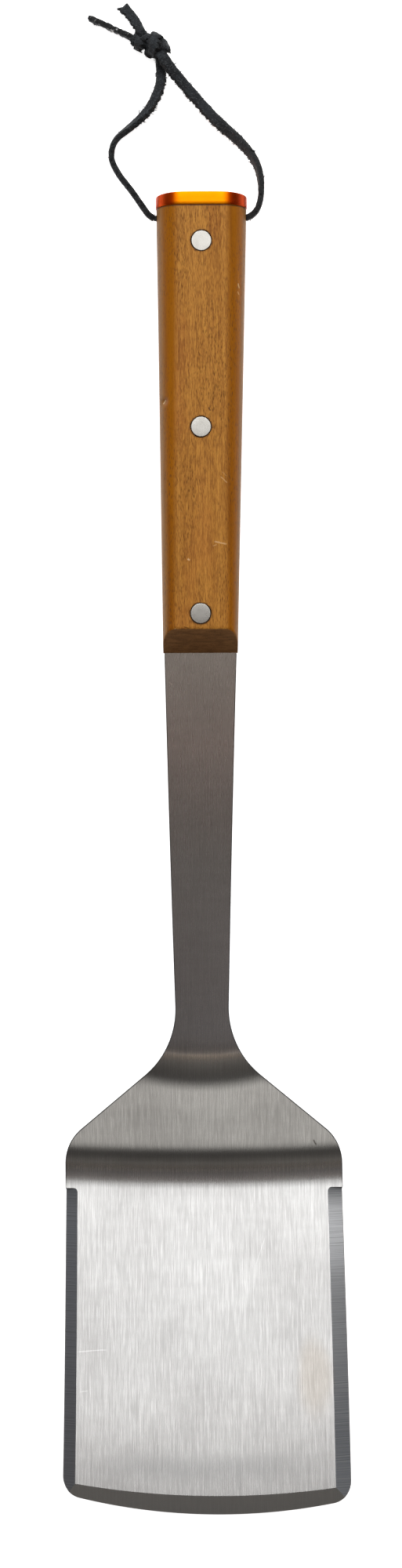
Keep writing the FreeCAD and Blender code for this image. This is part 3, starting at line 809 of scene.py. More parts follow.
def outline():
    """The blank's edge in plan as (x, d), from the tang's right corner round the tip and back."""
    top = (SHANK_TOP_HALF, HANDLE_END + 0.6)
    neck = (NECK_HALF, NECK_AT)
    shoulder = (blade_half(SHOULDER_AT), SHOULDER_AT)
    heel = (blade_half(BEVEL_START), BEVEL_START)
    neck_arc = fillet(top, neck, shoulder, NECK_FILLET, 26)
    shoulder_arc = fillet(neck, shoulder, heel, SHOULDER_RADIUS, 26)
    edge = [(handle_half(d) - TANG_INSET, d) for d in np.linspace(TANG_END, HANDLE_END, 40)]
    edge += [top] + between(top, neck_arc[0], 40) + neck_arc
    edge += between(neck_arc[-1], shoulder_arc[0], 12) + shoulder_arc + between(shoulder_arc[-1], heel, 12)
    edge += [(heel[0], BEVEL_START - 0.03), (heel[0] - EDGE_STEP * 0.5, BEVEL_START + 0.03),
             (heel[0] - EDGE_STEP, BEVEL_START + 0.6)]
    sides, ends = {}, {}
    for s in (-1, 1):
        stop, arc = corner_arc(s)
        steps = np.linspace(BEVEL_START + 1.2, stop, 60)[:-1]
        sides[s] = [(s * x, d) for x, d in edge] + [(s * (blade_half(d) - EDGE_STEP), d) for d in steps] + arc
        ends[s] = np.arctan2(arc[-1][1] - (TIP - FRONT_RADIUS), arc[-1][0] - APEX_X)
    front = [(APEX_X + FRONT_RADIUS * np.cos(t), TIP - FRONT_RADIUS + FRONT_RADIUS * np.sin(t))
             for t in np.linspace(ends[1], ends[-1], 60)[1:-1]]
    loop = np.array(sides[1] + front + sides[-1][::-1])
    step = np.linalg.norm(loop - np.roll(loop, 1, axis=0), axis=1)
    return loop[step > 1e-6]


def inside_loop(loop, pts):
    """Which points lie inside a closed plan outline."""
    x, y = pts[:, 0], pts[:, 1]
    hit = np.zeros(len(pts), bool)
    for (x1, y1), (x2, y2) in zip(loop, np.roll(loop, -1, axis=0)):
        if y1 != y2:
            hit ^= ((y1 > y) != (y2 > y)) & (x < (x2 - x1) * (y - y1) / (y2 - y1) + x1)
    return hit


def distance_to(line, pts):
    """Distance of plan points to an open line."""
    best = np.full(len(pts), 1e9)
    for p, q in zip(line[:-1], line[1:]):
        e = q - p
        t = np.clip(((pts - p) @ e) / (e @ e), 0, 1)
        best = np.minimum(best, np.linalg.norm(pts - (p + t[:, None] * e), axis=1))
    return best


def plan_mesh(loop, lines):
    """Triangles over the plan outline, with the lines kept as edges."""
    rows = spaced((TANG_END + 3, 300, 6.0), (301, 319, 0.6), (320, 337, 2.0), (337.6, 355, 0.45),
                  (357, TIP, 3.5))
    grid = [(x, d) for d in rows for x in np.arange(-52 + (int(d * 10) % 2) * 0.1, 52, 4.0)]
    grid = np.array(grid)
    grid = grid[inside_loop(loop, grid)]
    far = distance_to(np.vstack([loop, loop[:1]]), grid) > 0.7
    for line in lines:
        far &= distance_to(np.array(line), grid) > 0.35
    grid = grid[far]
    pts = [tuple(p) for p in loop]
    edges = [(i, (i + 1) % len(loop)) for i in range(len(loop))]
    for line in lines:
        base = len(pts)
        pts += [tuple(p) for p in line]
        edges += [(base + i, base + i + 1) for i in range(len(line) - 1)]
    pts += [tuple(p) for p in grid]
    out = delaunay_2d_cdt([Vector(p) for p in pts], edges, [], 0, 1e-5)
    v = np.array([tuple(p) for p in out[0]])
    tri = np.array([f for f in out[2] if len(f) == 3])
    return v, tri[inside_loop(loop, v[tri].mean(axis=1))]


def bevel_lines():
    """Plan lines where the bevels begin, stop and meet; the step where they stop is a close pair of lines."""
    lines, corner, top = [], {}, BEVEL_START + RUN_OUT
    for s in (-1, 1):
        d = TIP - 8.0
        for _ in range(40):
            x = s * side_inner(s, d)
            d -= float(front_reach(x, d)) * cos(BLADE)
        corner[s] = (x, d)
        cx = side_inner(s, top) + RUN_OUT
        for gap in (-0.03, 0.03):
            r = RUN_OUT - gap
            arc = [(s * (cx - r * cos(t)), top - r * sin(t)) for t in np.linspace(0, pi / 2, 9)]
            edge = [(s * x, BEVEL_START + gap) for x in np.linspace(cx, blade_half(BEVEL_START) - 0.5, 4)[1:]]
            if gap > 0:
                side = [(s * side_inner(s, dd), dd) for dd in np.linspace(corner[s][1], top + 1.0, 30)]
            else:
                side = [(s * (side_inner(s, top) + gap), top + 0.4)]
            lines.append(side + arc + edge)
        mitre = []
        for depth in np.linspace(0, BEVEL_DEPTH * 0.86, 8):
            dd = corner[s][1]
            for _ in range(30):
                xx = s * (side_inner(s, dd) + depth / BEVEL_DEPTH * BEVEL_WIDTH[s])
                dd += (depth / BEVEL_DEPTH * FRONT_BEVEL - float(front_reach(xx, dd))) * cos(BLADE)
            mitre.append((xx, dd))
        lines.append(mitre)
    front = []
    for x in np.linspace(corner[-1][0], corner[1][0], 60):
        yb = FRONT_BEVEL_RADIUS + FRONT_BEVEL - sqrt(FRONT_BEVEL_RADIUS**2 - (x - APEX_X) ** 2)
        front.append((x, TIP - yb * cos(BLADE)))
    lines.append(front)
    return lines


def edge_normals(loop):
    """Outward directions of a plan outline."""
    ahead, behind = np.roll(loop, -1, axis=0) - loop, loop - np.roll(loop, 1, axis=0)
    t = ahead / np.linalg.norm(ahead, axis=1)[:, None] + behind / np.linalg.norm(behind, axis=1)[:, None]
    t /= np.linalg.norm(t, axis=1)[:, None]
    n = np.column_stack([t[:, 1], -t[:, 0]])
    probe = inside_loop(loop, loop[:5] + n[:5] * 0.01)
    return -n if probe.sum() > 2 else n


def place(plan, z):
    """Plan points and their heights as build-frame points."""
    return np.column_stack([plan[:, 0], -plan[:, 1], z])


def top_height(plan):
    """Height of the top face over plan points, the bevels ground away."""
    depth, _ = ground(plan[:, 0], plan[:, 1])
    return surface(plan[:, 1], SHEET / 2)[0] - depth / cos(BLADE)


def upward(angle):
    """Normals of a surface with these slope angles."""
    return np.column_stack([0 * angle, np.sin(angle), np.cos(angle)])


def facet_normal(region, x, d, angle):
    """Direction that a ground facet faces; region 0 is the sheet itself."""
    base = np.array([0, sin(angle), cos(angle)])
    if region == 0:
        return base
    if region == 3:
        fall = atan(BEVEL_DEPTH / FRONT_BEVEL)
        r = np.array([x - APEX_X, FRONT_BEVEL_RADIUS + FRONT_BEVEL - (TIP - d) / cos(BLADE)])
        r /= np.linalg.norm(r)
        out = np.array([r[0], -cos(BLADE) * r[1], sin(BLADE) * r[1]])
    else:
        side = -1 if region == 1 else 1
        fall = atan(BEVEL_DEPTH / BEVEL_WIDTH[side])
        out = np.array([side, 0, 0])
    return base * cos(fall) + out * sin(fall)


def facing(points, tri, up):
    """Triangles wound to face up (1) or down (-1), with their normals."""
    p = points[tri]
    normal = np.cross(p[:, 1] - p[:, 0], p[:, 2] - p[:, 0])
    flip = normal[:, 2] * up < 0
    normal[flip] *= -1
    return np.where(flip[:, None], tri[:, ::-1], tri), normal / np.linalg.norm(normal, axis=1)[:, None]


def make_blank():
    """The bent sheet, with its own normals: each corner of a face has one in corners."""
    loop = outline()
    normals = edge_normals(loop)
    depth, _ = ground(loop[:, 0], loop[:, 1])
    radius = np.minimum(0.32, 0.28 * (SHEET - depth))
    inset = loop - normals * radius[:, None]
    faces, kind, corners = [], [], []
    # top face
    plan, tri = plan_mesh(inset, bevel_lines())
    verts = place(plan, top_height(plan))
    _, regions = ground(*plan[tri].mean(axis=1).T)
    tri, facets = facing(verts, tri, 1)
    sheet_normal = upward(shading_slope(plan[:, 0], plan[:, 1]))
    for t, region, facet in zip(tri, regions, facets):
        steep = facet[2] < 0.75
        faces.append(t)
        kind.append(0 if steep else int(region))
        for i in t:
            if steep:
                corners.append(facet)
            elif region == 0:
                corners.append(sheet_normal[i])
            else:
                corners.append(facet_normal(region, *plan[i], BLADE))
    # rounded top edge, wall, rounded bottom edge
    _, slope_top = surface(loop[:, 1], SHEET / 2)
    _, slope_low = surface(loop[:, 1], -SHEET / 2)
    _, regions = ground(inset[:, 0], inset[:, 1])
    out = place(normals, 0 * slope_top)
    low_n = -upward(slope_low)
    top_n = np.array([facet_normal(r, *point, a) for r, point, a in zip(regions, inset, slope_top)])
    top_z = top_height(inset)
    rings, ring_n = [], []
    for k in range(10):
        low = k > 4
        a = pi / 2 * (9 - k if low else k) / 4
        ring = loop - normals * (radius * (1 - sin(a)))[:, None]
        drop = radius * (1 - cos(a))
        rings.append(place(ring, surface(ring[:, 1], -SHEET / 2)[0] + drop if low else top_z - drop))
        ring_n.append((low_n if low else top_n) * cos(a) + out * sin(a))
    base, n = len(verts), len(loop)
    verts = np.vstack([verts, *rings])
    for k in range(len(rings) - 1):
        for i in range(n):
            j = (i + 1) % n
            q = [base + k * n + i, base + k * n + j, base + (k + 1) * n + j, base + (k + 1) * n + i]
            q_n = [ring_n[k][i], ring_n[k][j], ring_n[k + 1][j], ring_n[k + 1][i]]
            a, b, c = verts[q[:3]]
            if np.cross(b - a, c - a) @ (out[i] + top_n[i] * (0.2 if k < 5 else -0.2)) < 0:
                q, q_n = q[::-1], q_n[::-1]
            faces.append(q)
            kind.append(4)
            corners += q_n
    # bottom face
    plan, tri = plan_mesh(inset, [])
    z, slope = surface(plan[:, 1], -SHEET / 2)
    low_verts = place(plan, z)
    tri, _ = facing(low_verts, tri, -1)
    down = -upward(slope)
    base = len(verts)
    verts = np.vstack([verts, low_verts])
    for t in tri:
        faces.append(base + t)
        kind.append(0)
        corners += list(down[t])
    obj = new_object("steel_blank", to_frame(verts), faces, steel_material())
    mesh = obj.data
    corners = turn(corners)
    corners /= np.linalg.norm(corners, axis=1)[:, None]
    mesh.normals_split_custom_set([tuple(c) for c in corners])
    uv = mesh.uv_layers.new(name="UVMap")
    for poly, k in zip(mesh.polygons, kind):
        for loop_index, i in zip(poly.loop_indices, poly.vertices):
            x, y = verts[i][:2]
            uv.data[loop_index].uv = (y, x) if k in (1, 2) else (x, y)
    mesh.attributes.new("bevel", "FLOAT", "FACE").data.foreach_set("value", [float(k) for k in kind])
    finish_piece(obj, "spatula", "steel", "spatula_blank")


# Painted reflection and shade on the steel along its length, as brightness or colour factors: (y in
# millimetres, factor)
BEVEL_REFLECTIONS = (
    (-215, 1.04), (-205, 0.95), (-195, 0.86), (-186, 0.79), (-176, 0.77), (-161, 0.70), (-154, 0.76),
    (-147, 1.02), (-141, 1.13), (-135, 1.13), (-130, 1.0), (-120, 1.0),
)
HEEL_REFLECTIONS = (
    (-222, 0.93), (-200, 0.99), (-173, 0.92), (-145, 0.955), (-128, 1.0), (-123.2, 0.96), (-121.8, 0.78),
    (-120.7, 0.92), (-119.6, 1.12), (-118.4, (1.06, 1.1, 1.14)), (-117.2, (0.76, 0.82, 0.90)),
    (-116.2, (0.70, 0.76, 0.84)), (-115.1, 1.2), (-114.0, 1.4),
    (-112.8, 1.05), (-111.7, 0.78), (-110.6, 0.66), (-109.4, 0.75), (-108.3, 0.86), (-106.5, 0.96),
    (-104, 1.0),
)
NECK_REFLECTIONS = (
    (-98, 1.0), (-93, 1.12), (-87.5, 1.2), (-86.3, 1.05), (-84.1, 0.87), (-83.0, 0.76), (-81.9, 0.82),
    (-80.8, 0.90), (-79.5, 1.02), (-77.5, 1.3), (-76.3, 1.5), (-75.0, 1.38), (-74.1, 1.42), (-73.3, 1.0),
    (-72.3, 0.80),
    (-70.6, 0.84), (-68.5, 0.95), (-66, 1.0),
)
SHANK_REFLECTION_TINT = (
    (-74.2, 1.0), (-73.2, (0.92, 0.97, 1.05)), (-66, (0.91, 0.97, 1.07)), (-47, (0.98, 1.01, 1.07)),
    (-6, 1.0), (36, (1.06, 0.92, 0.86)), (64, (0.90, 0.81, 0.74)),
)
STEEL_MARKS = (
    (-45.5, -177.8, -34.0, -177.2, 0.26, (232, 232, 232), 0.42),
    (-44.0, -191.0, -41.0, -190.6, 0.22, (228, 228, 228), 0.4),
    (39.2, -105.2, 40.4, -107.4, 0.35, (70, 64, 58), 0.8),
    (-11.6, 58.6, -10.4, 57.2, 0.35, (225, 222, 218), 0.6),
    (-10.2, 36.0, -9.0, 35.6, 0.35, (215, 210, 205), 0.5),
    (3.0, 12.0, 3.6, 4.0, 0.16, (150, 148, 146), 0.6),
    (18.0, -150.0, 22.0, -139.0, 0.14, (226, 226, 226), 0.4),
    (-12.0, -205.0, -3.0, -199.0, 0.14, (168, 167, 166), 0.45),
)


def tone_along(m, y, stops):
    """Colour factor along the tool, doubled from a ramp; stops are (y in millimetres, factor)."""
    low, high = stops[0][0], stops[-1][0]
    marks = []
    for at, tone in stops:
        colour = tone if isinstance(tone, tuple) else (tone,) * 3
        marks.append(((at - low) / (high - low), tuple(v / 2 for v in colour)))
    halved = m.ramp(m.grey(y, low / 1000, high / 1000), marks)
    return m.node("VectorMath", {0: halved, 3: 2.0}, operation="SCALE").outputs[0]


def paint_marks(m, marks, x, y, wobble):
    """Short marks of use: start, end and half width in millimetres, colour, strength."""
    for x0, y0, x1, y1, width, colour, amount in marks:
        length = sqrt((x1 - x0) ** 2 + (y1 - y0) ** 2)
        ux, uy = (x1 - x0) / length, (y1 - y0) / length
        px = m.minus(m.times(x, 1000.0), (x0 + x1) / 2)
        py = m.minus(m.times(y, 1000.0), (y0 + y1) / 2)
        along = m.plus(m.times(px, ux), m.times(py, uy))
        off = m.plus(m.times(px, -uy), m.times(py, ux))
        off = m.plus(off, m.times(m.minus(wobble, 0.5), width * 2.0))
        inside = m.grey(m.size(along), length * 0.5, length * 0.35)
        mask = m.times(inside, m.grey(m.size(off), width, width * 0.3))
        m.paint(m.times(mask, amount), srgb(*colour))


def steel_material():
    m = Nodes("brushed_steel")
    kind = m.node("Attribute", attribute_name="bevel").outputs["Fac"]
    side = m.times(m.math("GREATER_THAN", kind, 0.5), m.math("LESS_THAN", kind, 2.5))
    bevel = m.times(m.math("GREATER_THAN", kind, 0.5), m.math("LESS_THAN", kind, 3.5))
    x, y, _ = m.xyz(m.at)
    long_lines = m.grain((3000, 44, 52), 2.0, 0.7)
    short_lines = m.grain((5400, 150, 190), 1.0, 0.6)
    ground_lines = m.grain((22, 2500, 0), 2.0, 0.7)
    brushed = m.plus(m.times(long_lines, 0.5), m.times(short_lines, 0.5))
    lines = m.mix(side, brushed, ground_lines)
    cloud = m.grain((30, 22, 24), 3.0, 0.5)
    smear = m.grain((90, 300, 300), 3.0, 0.6)
    tone = m.plus(m.times(cloud, 0.7), m.times(smear, 0.3))
    m.colour = m.mix(m.grey(tone, 0.3, 0.7), srgb(175, 174, 173), srgb(198, 198, 197))
    calm = m.grey(y, -0.125, -0.112, 1.0, 0.66)
    m.paint(m.times(m.grey(lines, 0.44, 0.68, 0.0, 0.54), calm), srgb(152, 151, 150))
    m.paint(m.times(m.grey(lines, 0.48, 0.30, 0.0, 0.48), calm), srgb(216, 216, 215))
    grind = m.grey(ground_lines, 0.46, 0.66)
    # painted reflections on the side bevels: the left lighter and cooler, the right dark towards the tip and
    # bright towards the heel
    to_heel = m.grey(y, -0.205, -0.108)
    left_bevel_reflection = m.mix(to_heel, srgb(174, 175, 181), srgb(196, 200, 206))
    right_bevel_reflection = m.mix(to_heel, srgb(136, 139, 144), srgb(250, 252, 255))
    right_bevel_reflection = m.tinted(right_bevel_reflection, tone_along(m, y, BEVEL_REFLECTIONS))
    side_bevel_reflection = m.mix(m.math("GREATER_THAN", x, 0.0), left_bevel_reflection, right_bevel_reflection)
    m.paint(m.times(side, 0.96), side_bevel_reflection)
    m.paint(m.times(side, m.times(grind, 0.42)), srgb(96, 98, 101))
    gleam = m.grey(ground_lines, 0.44, 0.28, 0.0, 0.22)
    m.paint(m.times(side, gleam), srgb(236, 238, 240))
    # painted shadow at the step where the side bevels start, fading towards the tip and darker towards +X
    start = m.times(m.grey(y, -0.1300, -0.1225), m.grey(x, -0.04, 0.04, 0.25, 0.85))
    m.paint(m.times(side, start), srgb(84, 86, 90))
    # painted reflection: a pale cool tint on the front bevel
    front = m.math("GREATER_THAN", kind, 2.5)
    m.paint(m.times(m.times(front, bevel), 0.6), srgb(196, 207, 217))
    # a faint brown heat stain, then scratches and nicks
    stain_at = m.coords((100, 50, 1), move=(-3.88, 9.3, 0))
    blob = m.node("VectorMath", {0: stain_at}, operation="LENGTH").outputs["Value"]
    blob = m.plus(blob, m.times(cloud, 0.9))
    stain = m.grey(blob, 1.25, 0.75, 0.0, 0.26, True)
    m.paint(stain, srgb(176, 160, 138))
    paint_marks(m, STEEL_MARKS, x, y, smear)
    band = m.size(m.plus(m.plus(y, 0.2135), m.times(cloud, 0.004)))
    band = m.times(m.grey(band, 0.0065, 0.0005, 0.0, 0.5, True), m.grey(m.size(x), 0.046, 0.02))
    m.paint(m.times(band, m.math("LESS_THAN", kind, 0.5)), srgb(160, 160, 160))
    # painted reflections and shade where the bends catch the room, a painted reflection tint on the shank,
    # cool towards the bend and warm towards the handle, and a dark line along the sheared edge
    squared = m.times(x, x)
    y_heel = m.minus(y, m.times(squared, 0.54))
    y_neck = m.minus(y, m.math("MINIMUM", m.times(squared, 6.5), 0.0028))
    plain = m.colour
    for at, stops in ((y_heel, HEEL_REFLECTIONS), (y_neck, NECK_REFLECTIONS), (y, SHANK_REFLECTION_TINT)):
        m.colour = m.tinted(m.colour, tone_along(m, at, stops))
    m.paint(bevel, plain)
    sheared = m.times(m.math("GREATER_THAN", kind, 3.5), m.grey(y, -0.121, -0.118, 0.0, 0.8))
    m.paint(sheared, srgb(66, 66, 66))
    rough = m.grey(lines, 0.2, 0.8, 0.23, 0.33)
    rough = m.plus(rough, m.times(bevel, 0.04))
    tangent = m.node("Tangent", direction_type="UV_MAP", uv_map="UVMap").outputs[0]
    height = m.plus(m.times(lines, 0.8), m.times(cloud, 1.2))
    return m.principled(Base_Color=m.colour, Metallic=1.0, Roughness=rough, Anisotropic=0.75,
                        Tangent=tangent, Normal=m.bump(height, 0.2, 0.00004))


# ---------------------------------------------------------------- wooden scales


def rounded_half(half, top, corner, rise, bottom):
    """Upper part of the handle's section, right foot over the top to the left foot."""
    foot = max(top - rise, bottom)
    pts = [(half, bottom + (foot - bottom) * t) for t in (0, 0.33, 0.66)]
    flat = half - corner
    round_1, round_2 = np.linspace(0, pi / 2, 17), np.linspace(pi / 2, pi, 17)
    pts += [(flat + corner * cos(a), top - rise + rise * sin(a)) for a in round_1]
    pts += [(flat * t, top) for t in np.linspace(1, -1, 22)[1:-1]]
    pts += [(-flat + corner * cos(a), top - rise + rise * sin(a)) for a in round_2]
    pts += [(-half, bottom + (foot - bottom) * t) for t in (0.66, 0.33, 0)]
    return pts


def soft_min(a, b, k):
    """The smaller of two heights, blended where they are within k of each other."""
    h = max(k - abs(a - b), 0.0) / k
    return min(a, b) - h * h * k * 0.25


def bore(rings, flipped=False):
    """Closed cutter between two rings of build-frame points, given in one list."""
    n = len(rings) // 2
    faces = grid_faces(2, n, closed=True) + [tuple(range(n))[::-1], tuple(range(n, 2 * n))]
    if flipped:
        faces = [f[::-1] for f in faces]
    return new_object("cutter", to_frame(rings), faces, smooth=False)


def scale_rows(sign):
    """Sections of a scale from the cap to its sloping end, and how far each point is past that slope."""
    stations = [CAP_LENGTH + gap for gap in (0.02, 0.25, 0.8)] + [7.6, 10.0, TANG_END - 0.03, TANG_END + 0.01]
    stations += [*spaced((14.5, 71.0, 2.5), (71.0, 77.0, 0.4), (78.0, 150.5, 2.5), (151.5, 162.6, 0.4))]
    rows, past = [], []
    for d in [*stations, HANDLE_END - 0.02]:
        bottom = 0.01 + (0 if d < TANG_END else SHEET / 2)
        share = (d - CAP_LENGTH) / (HANDLE_END - CAP_LENGTH)
        corner = BUTT_CORNER + share * (FRONT_CORNER - BUTT_CORNER)
        at_cap = d < CAP_LENGTH + 0.1
        half = handle_half(d) + WOOD_SPREAD - (0.12 if at_cap else 0)
        top = HALF_THICK - (0.1 if at_cap else 0)
        limit = SHEET / 2 + (HANDLE_END - d) / END_BEVEL * (HALF_THICK - SHEET / 2)
        row = []
        for x, z in rounded_half(half, top, corner, corner * (1.06 + 0.34 * share), bottom):
            past.append(z - limit)
            if d > 148:
                z = soft_min(z, max(limit, bottom + 0.02), 0.9)
            z = max(z, bottom)
            if z > 4:
                z += 0.08 * noise.noise(Vector((x * 0.06, d * 0.02, 3.0 * sign)))
            if sign > 0:
                dent = np.exp(-(((x - DENT[0]) / 0.9) ** 2 + ((d - DENT[1]) / 1.1) ** 2))
                z -= 0.75 * dent
                x += 0.40 * dent
            row.append((x, -d, sign * z))
        rows.append(row)
    return rows, past


def make_scale(sign, name, node):
    rows, past = scale_rows(sign)
    cols = len(rows[0])
    last = (len(rows) - 1) * cols
    faces = grid_faces(len(rows), cols, closed=True)
    faces += [tuple(range(cols)), tuple(range(last, last + cols))[::-1]]
    obj = new_object(name, to_frame([p for r in rows for p in r]), faces, wood_material())
    fix_normals(obj)
    flag = obj.data.attributes.new("end_cut", "FLOAT", "POINT")
    flag.data.foreach_set("value", np.clip(np.array(past), -2, 2).astype(np.float32))
    cutters = []
    for k, d in enumerate(RIVETS):
        rings = []
        for z in (SHEET / 2 - 3, HALF_THICK + 3):
            for a in around(64):
                ragged = noise.noise(Vector((cos(a) * 1.6, sin(a) * 1.6, k * 5.1 + sign)))
                r = HEAD_RADIUS + 0.19 + 0.14 * ragged
                rings.append((r * cos(a), -d + r * sin(a), sign * z))
        cutters.append(bore(rings, sign < 0))
    cutters.append(bore([(x, -LACE_HOLE_AT + LACE_HOLE_RADIUS * cos(a), LACE_HOLE_RADIUS * sin(a))
                         for x in (-30, 30) for a in around(40)]))
    cut(obj, *cutters)
    sharpen(obj, 38)
    finish_piece(obj, "spatula", "wood", node)


WOOD = {
    "light": srgb(200, 138, 60),
    "mid": srgb(170, 111, 42),
    "red": srgb(172, 100, 44),
    "dark": srgb(112, 64, 20),
    "gold": srgb(208, 152, 66),
    "shoulder_shade": srgb(158, 94, 0),
    "shoulder_shade_dark": srgb(128, 70, 0),
    "edge": srgb(148, 105, 48),
    "edge_dark": srgb(124, 84, 38),
    "pore": srgb(64, 34, 12),
    "rivet_shade": srgb(92, 54, 22),
    "end": srgb(134, 94, 56),
    "end_dark": srgb(104, 71, 40),
}
WOOD_MARKS = (
    (6.9, 130.7, 9.4, 128.3, 0.26, (206, 160, 104), 0.8),
    (7.4, 132.4, 9.2, 130.6, 0.16, (200, 152, 96), 0.6),
    (4.5, 107.7, 9.2, 106.7, 0.36, (214, 170, 116), 0.9),
    (4.1, 106.1, 5.6, 106.6, 0.24, (206, 160, 104), 0.7),
    (13.5, 199.3, 13.9, 197.4, 0.30, (206, 164, 108), 0.8),
    (13.3, 196.4, 13.8, 195.2, 0.26, (206, 160, 104), 0.7),
    (-4.8, 101.7, -4.0, 101.0, 0.42, (220, 180, 130), 0.9),
    (2.9, 155.1, 3.4, 153.7, 0.34, (84, 48, 18), 0.9),
    (-12.2, 158.1, -13.2, 156.7, 0.34, (214, 186, 146), 0.7),
    (-9.8, 76.9, -7.2, 76.3, 0.30, (196, 160, 120), 0.6),
    (-7.8, 76.8, -1.9, 76.6, 0.34, (52, 32, 16), 0.85),
    (-6.4, 77.6, -4.4, 77.1, 0.22, (60, 36, 18), 0.7),
)


def wood_material():
    m = Nodes("oiled_hardwood")
    x, y, _ = m.xyz(m.at)
    warp = m.grain((70, 16, 70), 3.0)
    shift = m.node("CombineXYZ", {0: m.times(m.minus(warp, 0.5), 0.0045)}).outputs[0]
    gv = m.node("VectorMath", {0: m.at, 1: shift}, operation="ADD").outputs[0]
    bands = m.grain((330, 7, 330), 4.0, 0.6, source=gv)
    fine = m.grain((2300, 60, 2300), 3.0, 0.65, source=gv)
    fleck = m.grain((2700, 330, 2700), 2.0, 0.65, source=gv)
    pores = m.voronoi(m.coords((2200, 400, 2200), source=gv))
    pores_2 = m.voronoi(m.coords((2900, 560, 2900), source=gv, move=(3, 7, 1)))
    where = m.grey(m.grain((120, 26, 120), 3.0, source=gv), 0.40, 0.60)
    pore = m.times(m.grey(pores, 0.32, 0.16), m.grey(where, 0.0, 1.0, 0.15, 1.0))
    pore_2 = m.times(m.grey(pores_2, 0.36, 0.18), m.grey(where, 0.0, 1.0, 0.45, 0.9))
    red = m.grain((90, 22, 90), 3.0, move=(4, 2, 9))
    m.colour = m.mix(m.grey(bands, 0.32, 0.70), WOOD["light"], WOOD["mid"])
    m.paint(m.grey(red, 0.48, 0.70, 0.0, 0.4), WOOD["red"])
    m.paint(m.grey(fine, 0.48, 0.76, 0.0, 0.66), WOOD["dark"])
    m.paint(m.grey(fine, 0.42, 0.20, 0.0, 0.4), WOOD["gold"])
    busy = m.grey(y, 0.105, 0.165, 0.75, 1.0)
    m.paint(m.times(m.grey(fleck, 0.48, 0.68, 0.0, 0.58), busy), WOOD["dark"])
    m.paint(m.times(m.grey(fleck, 0.48, 0.32, 0.0, 0.36), busy), WOOD["gold"])
    # rounded shoulders: painted shade where they turn away from the light, and a greyer painted sheen towards
    # the edge
    from_middle = m.minus(x, m.grey(y, 0.0687, 0.2313, -0.00033, 0.00062))
    across = m.size(from_middle)
    right = m.math("GREATER_THAN", from_middle, 0.0)
    edge = m.minus(across, m.mix(right, (0.0093,) * 3, (0.0098,) * 3))
    edge = m.plus(edge, m.times(m.minus(fine, 0.5), 0.0007))
    half = m.grey(y, 0.0687, 0.2268, 0.0131, 0.0159)
    rim = m.minus(half, across)
    # painted shade in orange-brown over the rounded shoulders
    shoulder_shade = m.grey(edge, -0.0018, 0.0010, 0.0, 0.94, True)
    m.paint(shoulder_shade, m.mix(m.grey(bands, 0.3, 0.7), WOOD["shoulder_shade"], WOOD["shoulder_shade_dark"]))
    # painted sheen: a greyer, paler rim along the outer edge, wider on the right
    edge_sheen = m.grey(rim, 0.0005, m.mix(right, (0.0030,) * 3, (0.0016,) * 3), 0.85, 0.0, True)
    m.paint(edge_sheen, m.mix(m.grey(bands, 0.3, 0.7), WOOD["edge"], WOOD["edge_dark"]))
    m.paint(m.times(pore, 0.66), WOOD["pore"])
    m.paint(m.times(pore_2, 0.5), WOOD["pore"])
    # painted shadow: a dark line on the wood under the cap's edge, and a ring of painted shade round each
    # rivet
    m.paint(m.grey(y, 0.2260, 0.2266, 0.0, 0.8, True), WOOD["pore"])
    halo = m.grain((700, 700, 700), 3.0)
    # painted shade ring round each rivet head
    for d in RIVETS:
        px = m.times(from_middle, 1000.0)
        py = m.minus(m.times(y, 1000.0), float(to_frame([(0, -d, HALF_THICK)])[0][1]) * 1000)
        r = m.math("SQRT", m.plus(m.times(px, px), m.times(py, py)))
        r = m.plus(r, m.times(m.minus(halo, 0.5), 1.2))
        m.paint(m.grey(r, 4.3, 3.8, 0.0, 0.75, True), WOOD["rivet_shade"])
    paint_marks(m, WOOD_MARKS, x, y, fleck)
    # end grain on the sloping blade end
    cut_at = m.node("Attribute", attribute_name="end_cut").outputs["Fac"]
    rays = m.grain((260, 1500, 700), 4.0, 0.7, rotate=(0, 0, 0.45))
    specks = m.voronoi(m.coords((1700, 1700, 1700)))
    end_col = m.mix(m.grey(rays, 0.34, 0.68), WOOD["end"], WOOD["end_dark"])
    end_col = m.mix(m.grey(specks, 0.30, 0.12, 0.0, 0.6), end_col, WOOD["pore"])
    ragged = m.plus(cut_at, m.times(m.minus(fleck, 0.5), 0.35))
    is_end = m.grey(ragged, -0.12, 0.10, 0.0, 1.0, True)
    m.paint(is_end, end_col)
    rough = m.plus(m.grey(bands, 0.3, 0.7, 0.40, 0.50), m.times(is_end, 0.25))
    h = m.minus(m.times(fine, 0.35), m.times(pore, 0.9))
    h = m.minus(h, m.times(pore_2, 0.4))
    return m.principled(Base_Color=m.colour, Roughness=rough, Normal=m.bump(h, 0.5, 0.00012),
                        Specular_IOR_Level=0.13)


# ---------------------------------------------------------------- cap and rivets


def crown(x):
    """How far the cap's end falls back from its middle at this distance across."""
    return 0.45 * abs(x / 16.2) ** 2.5


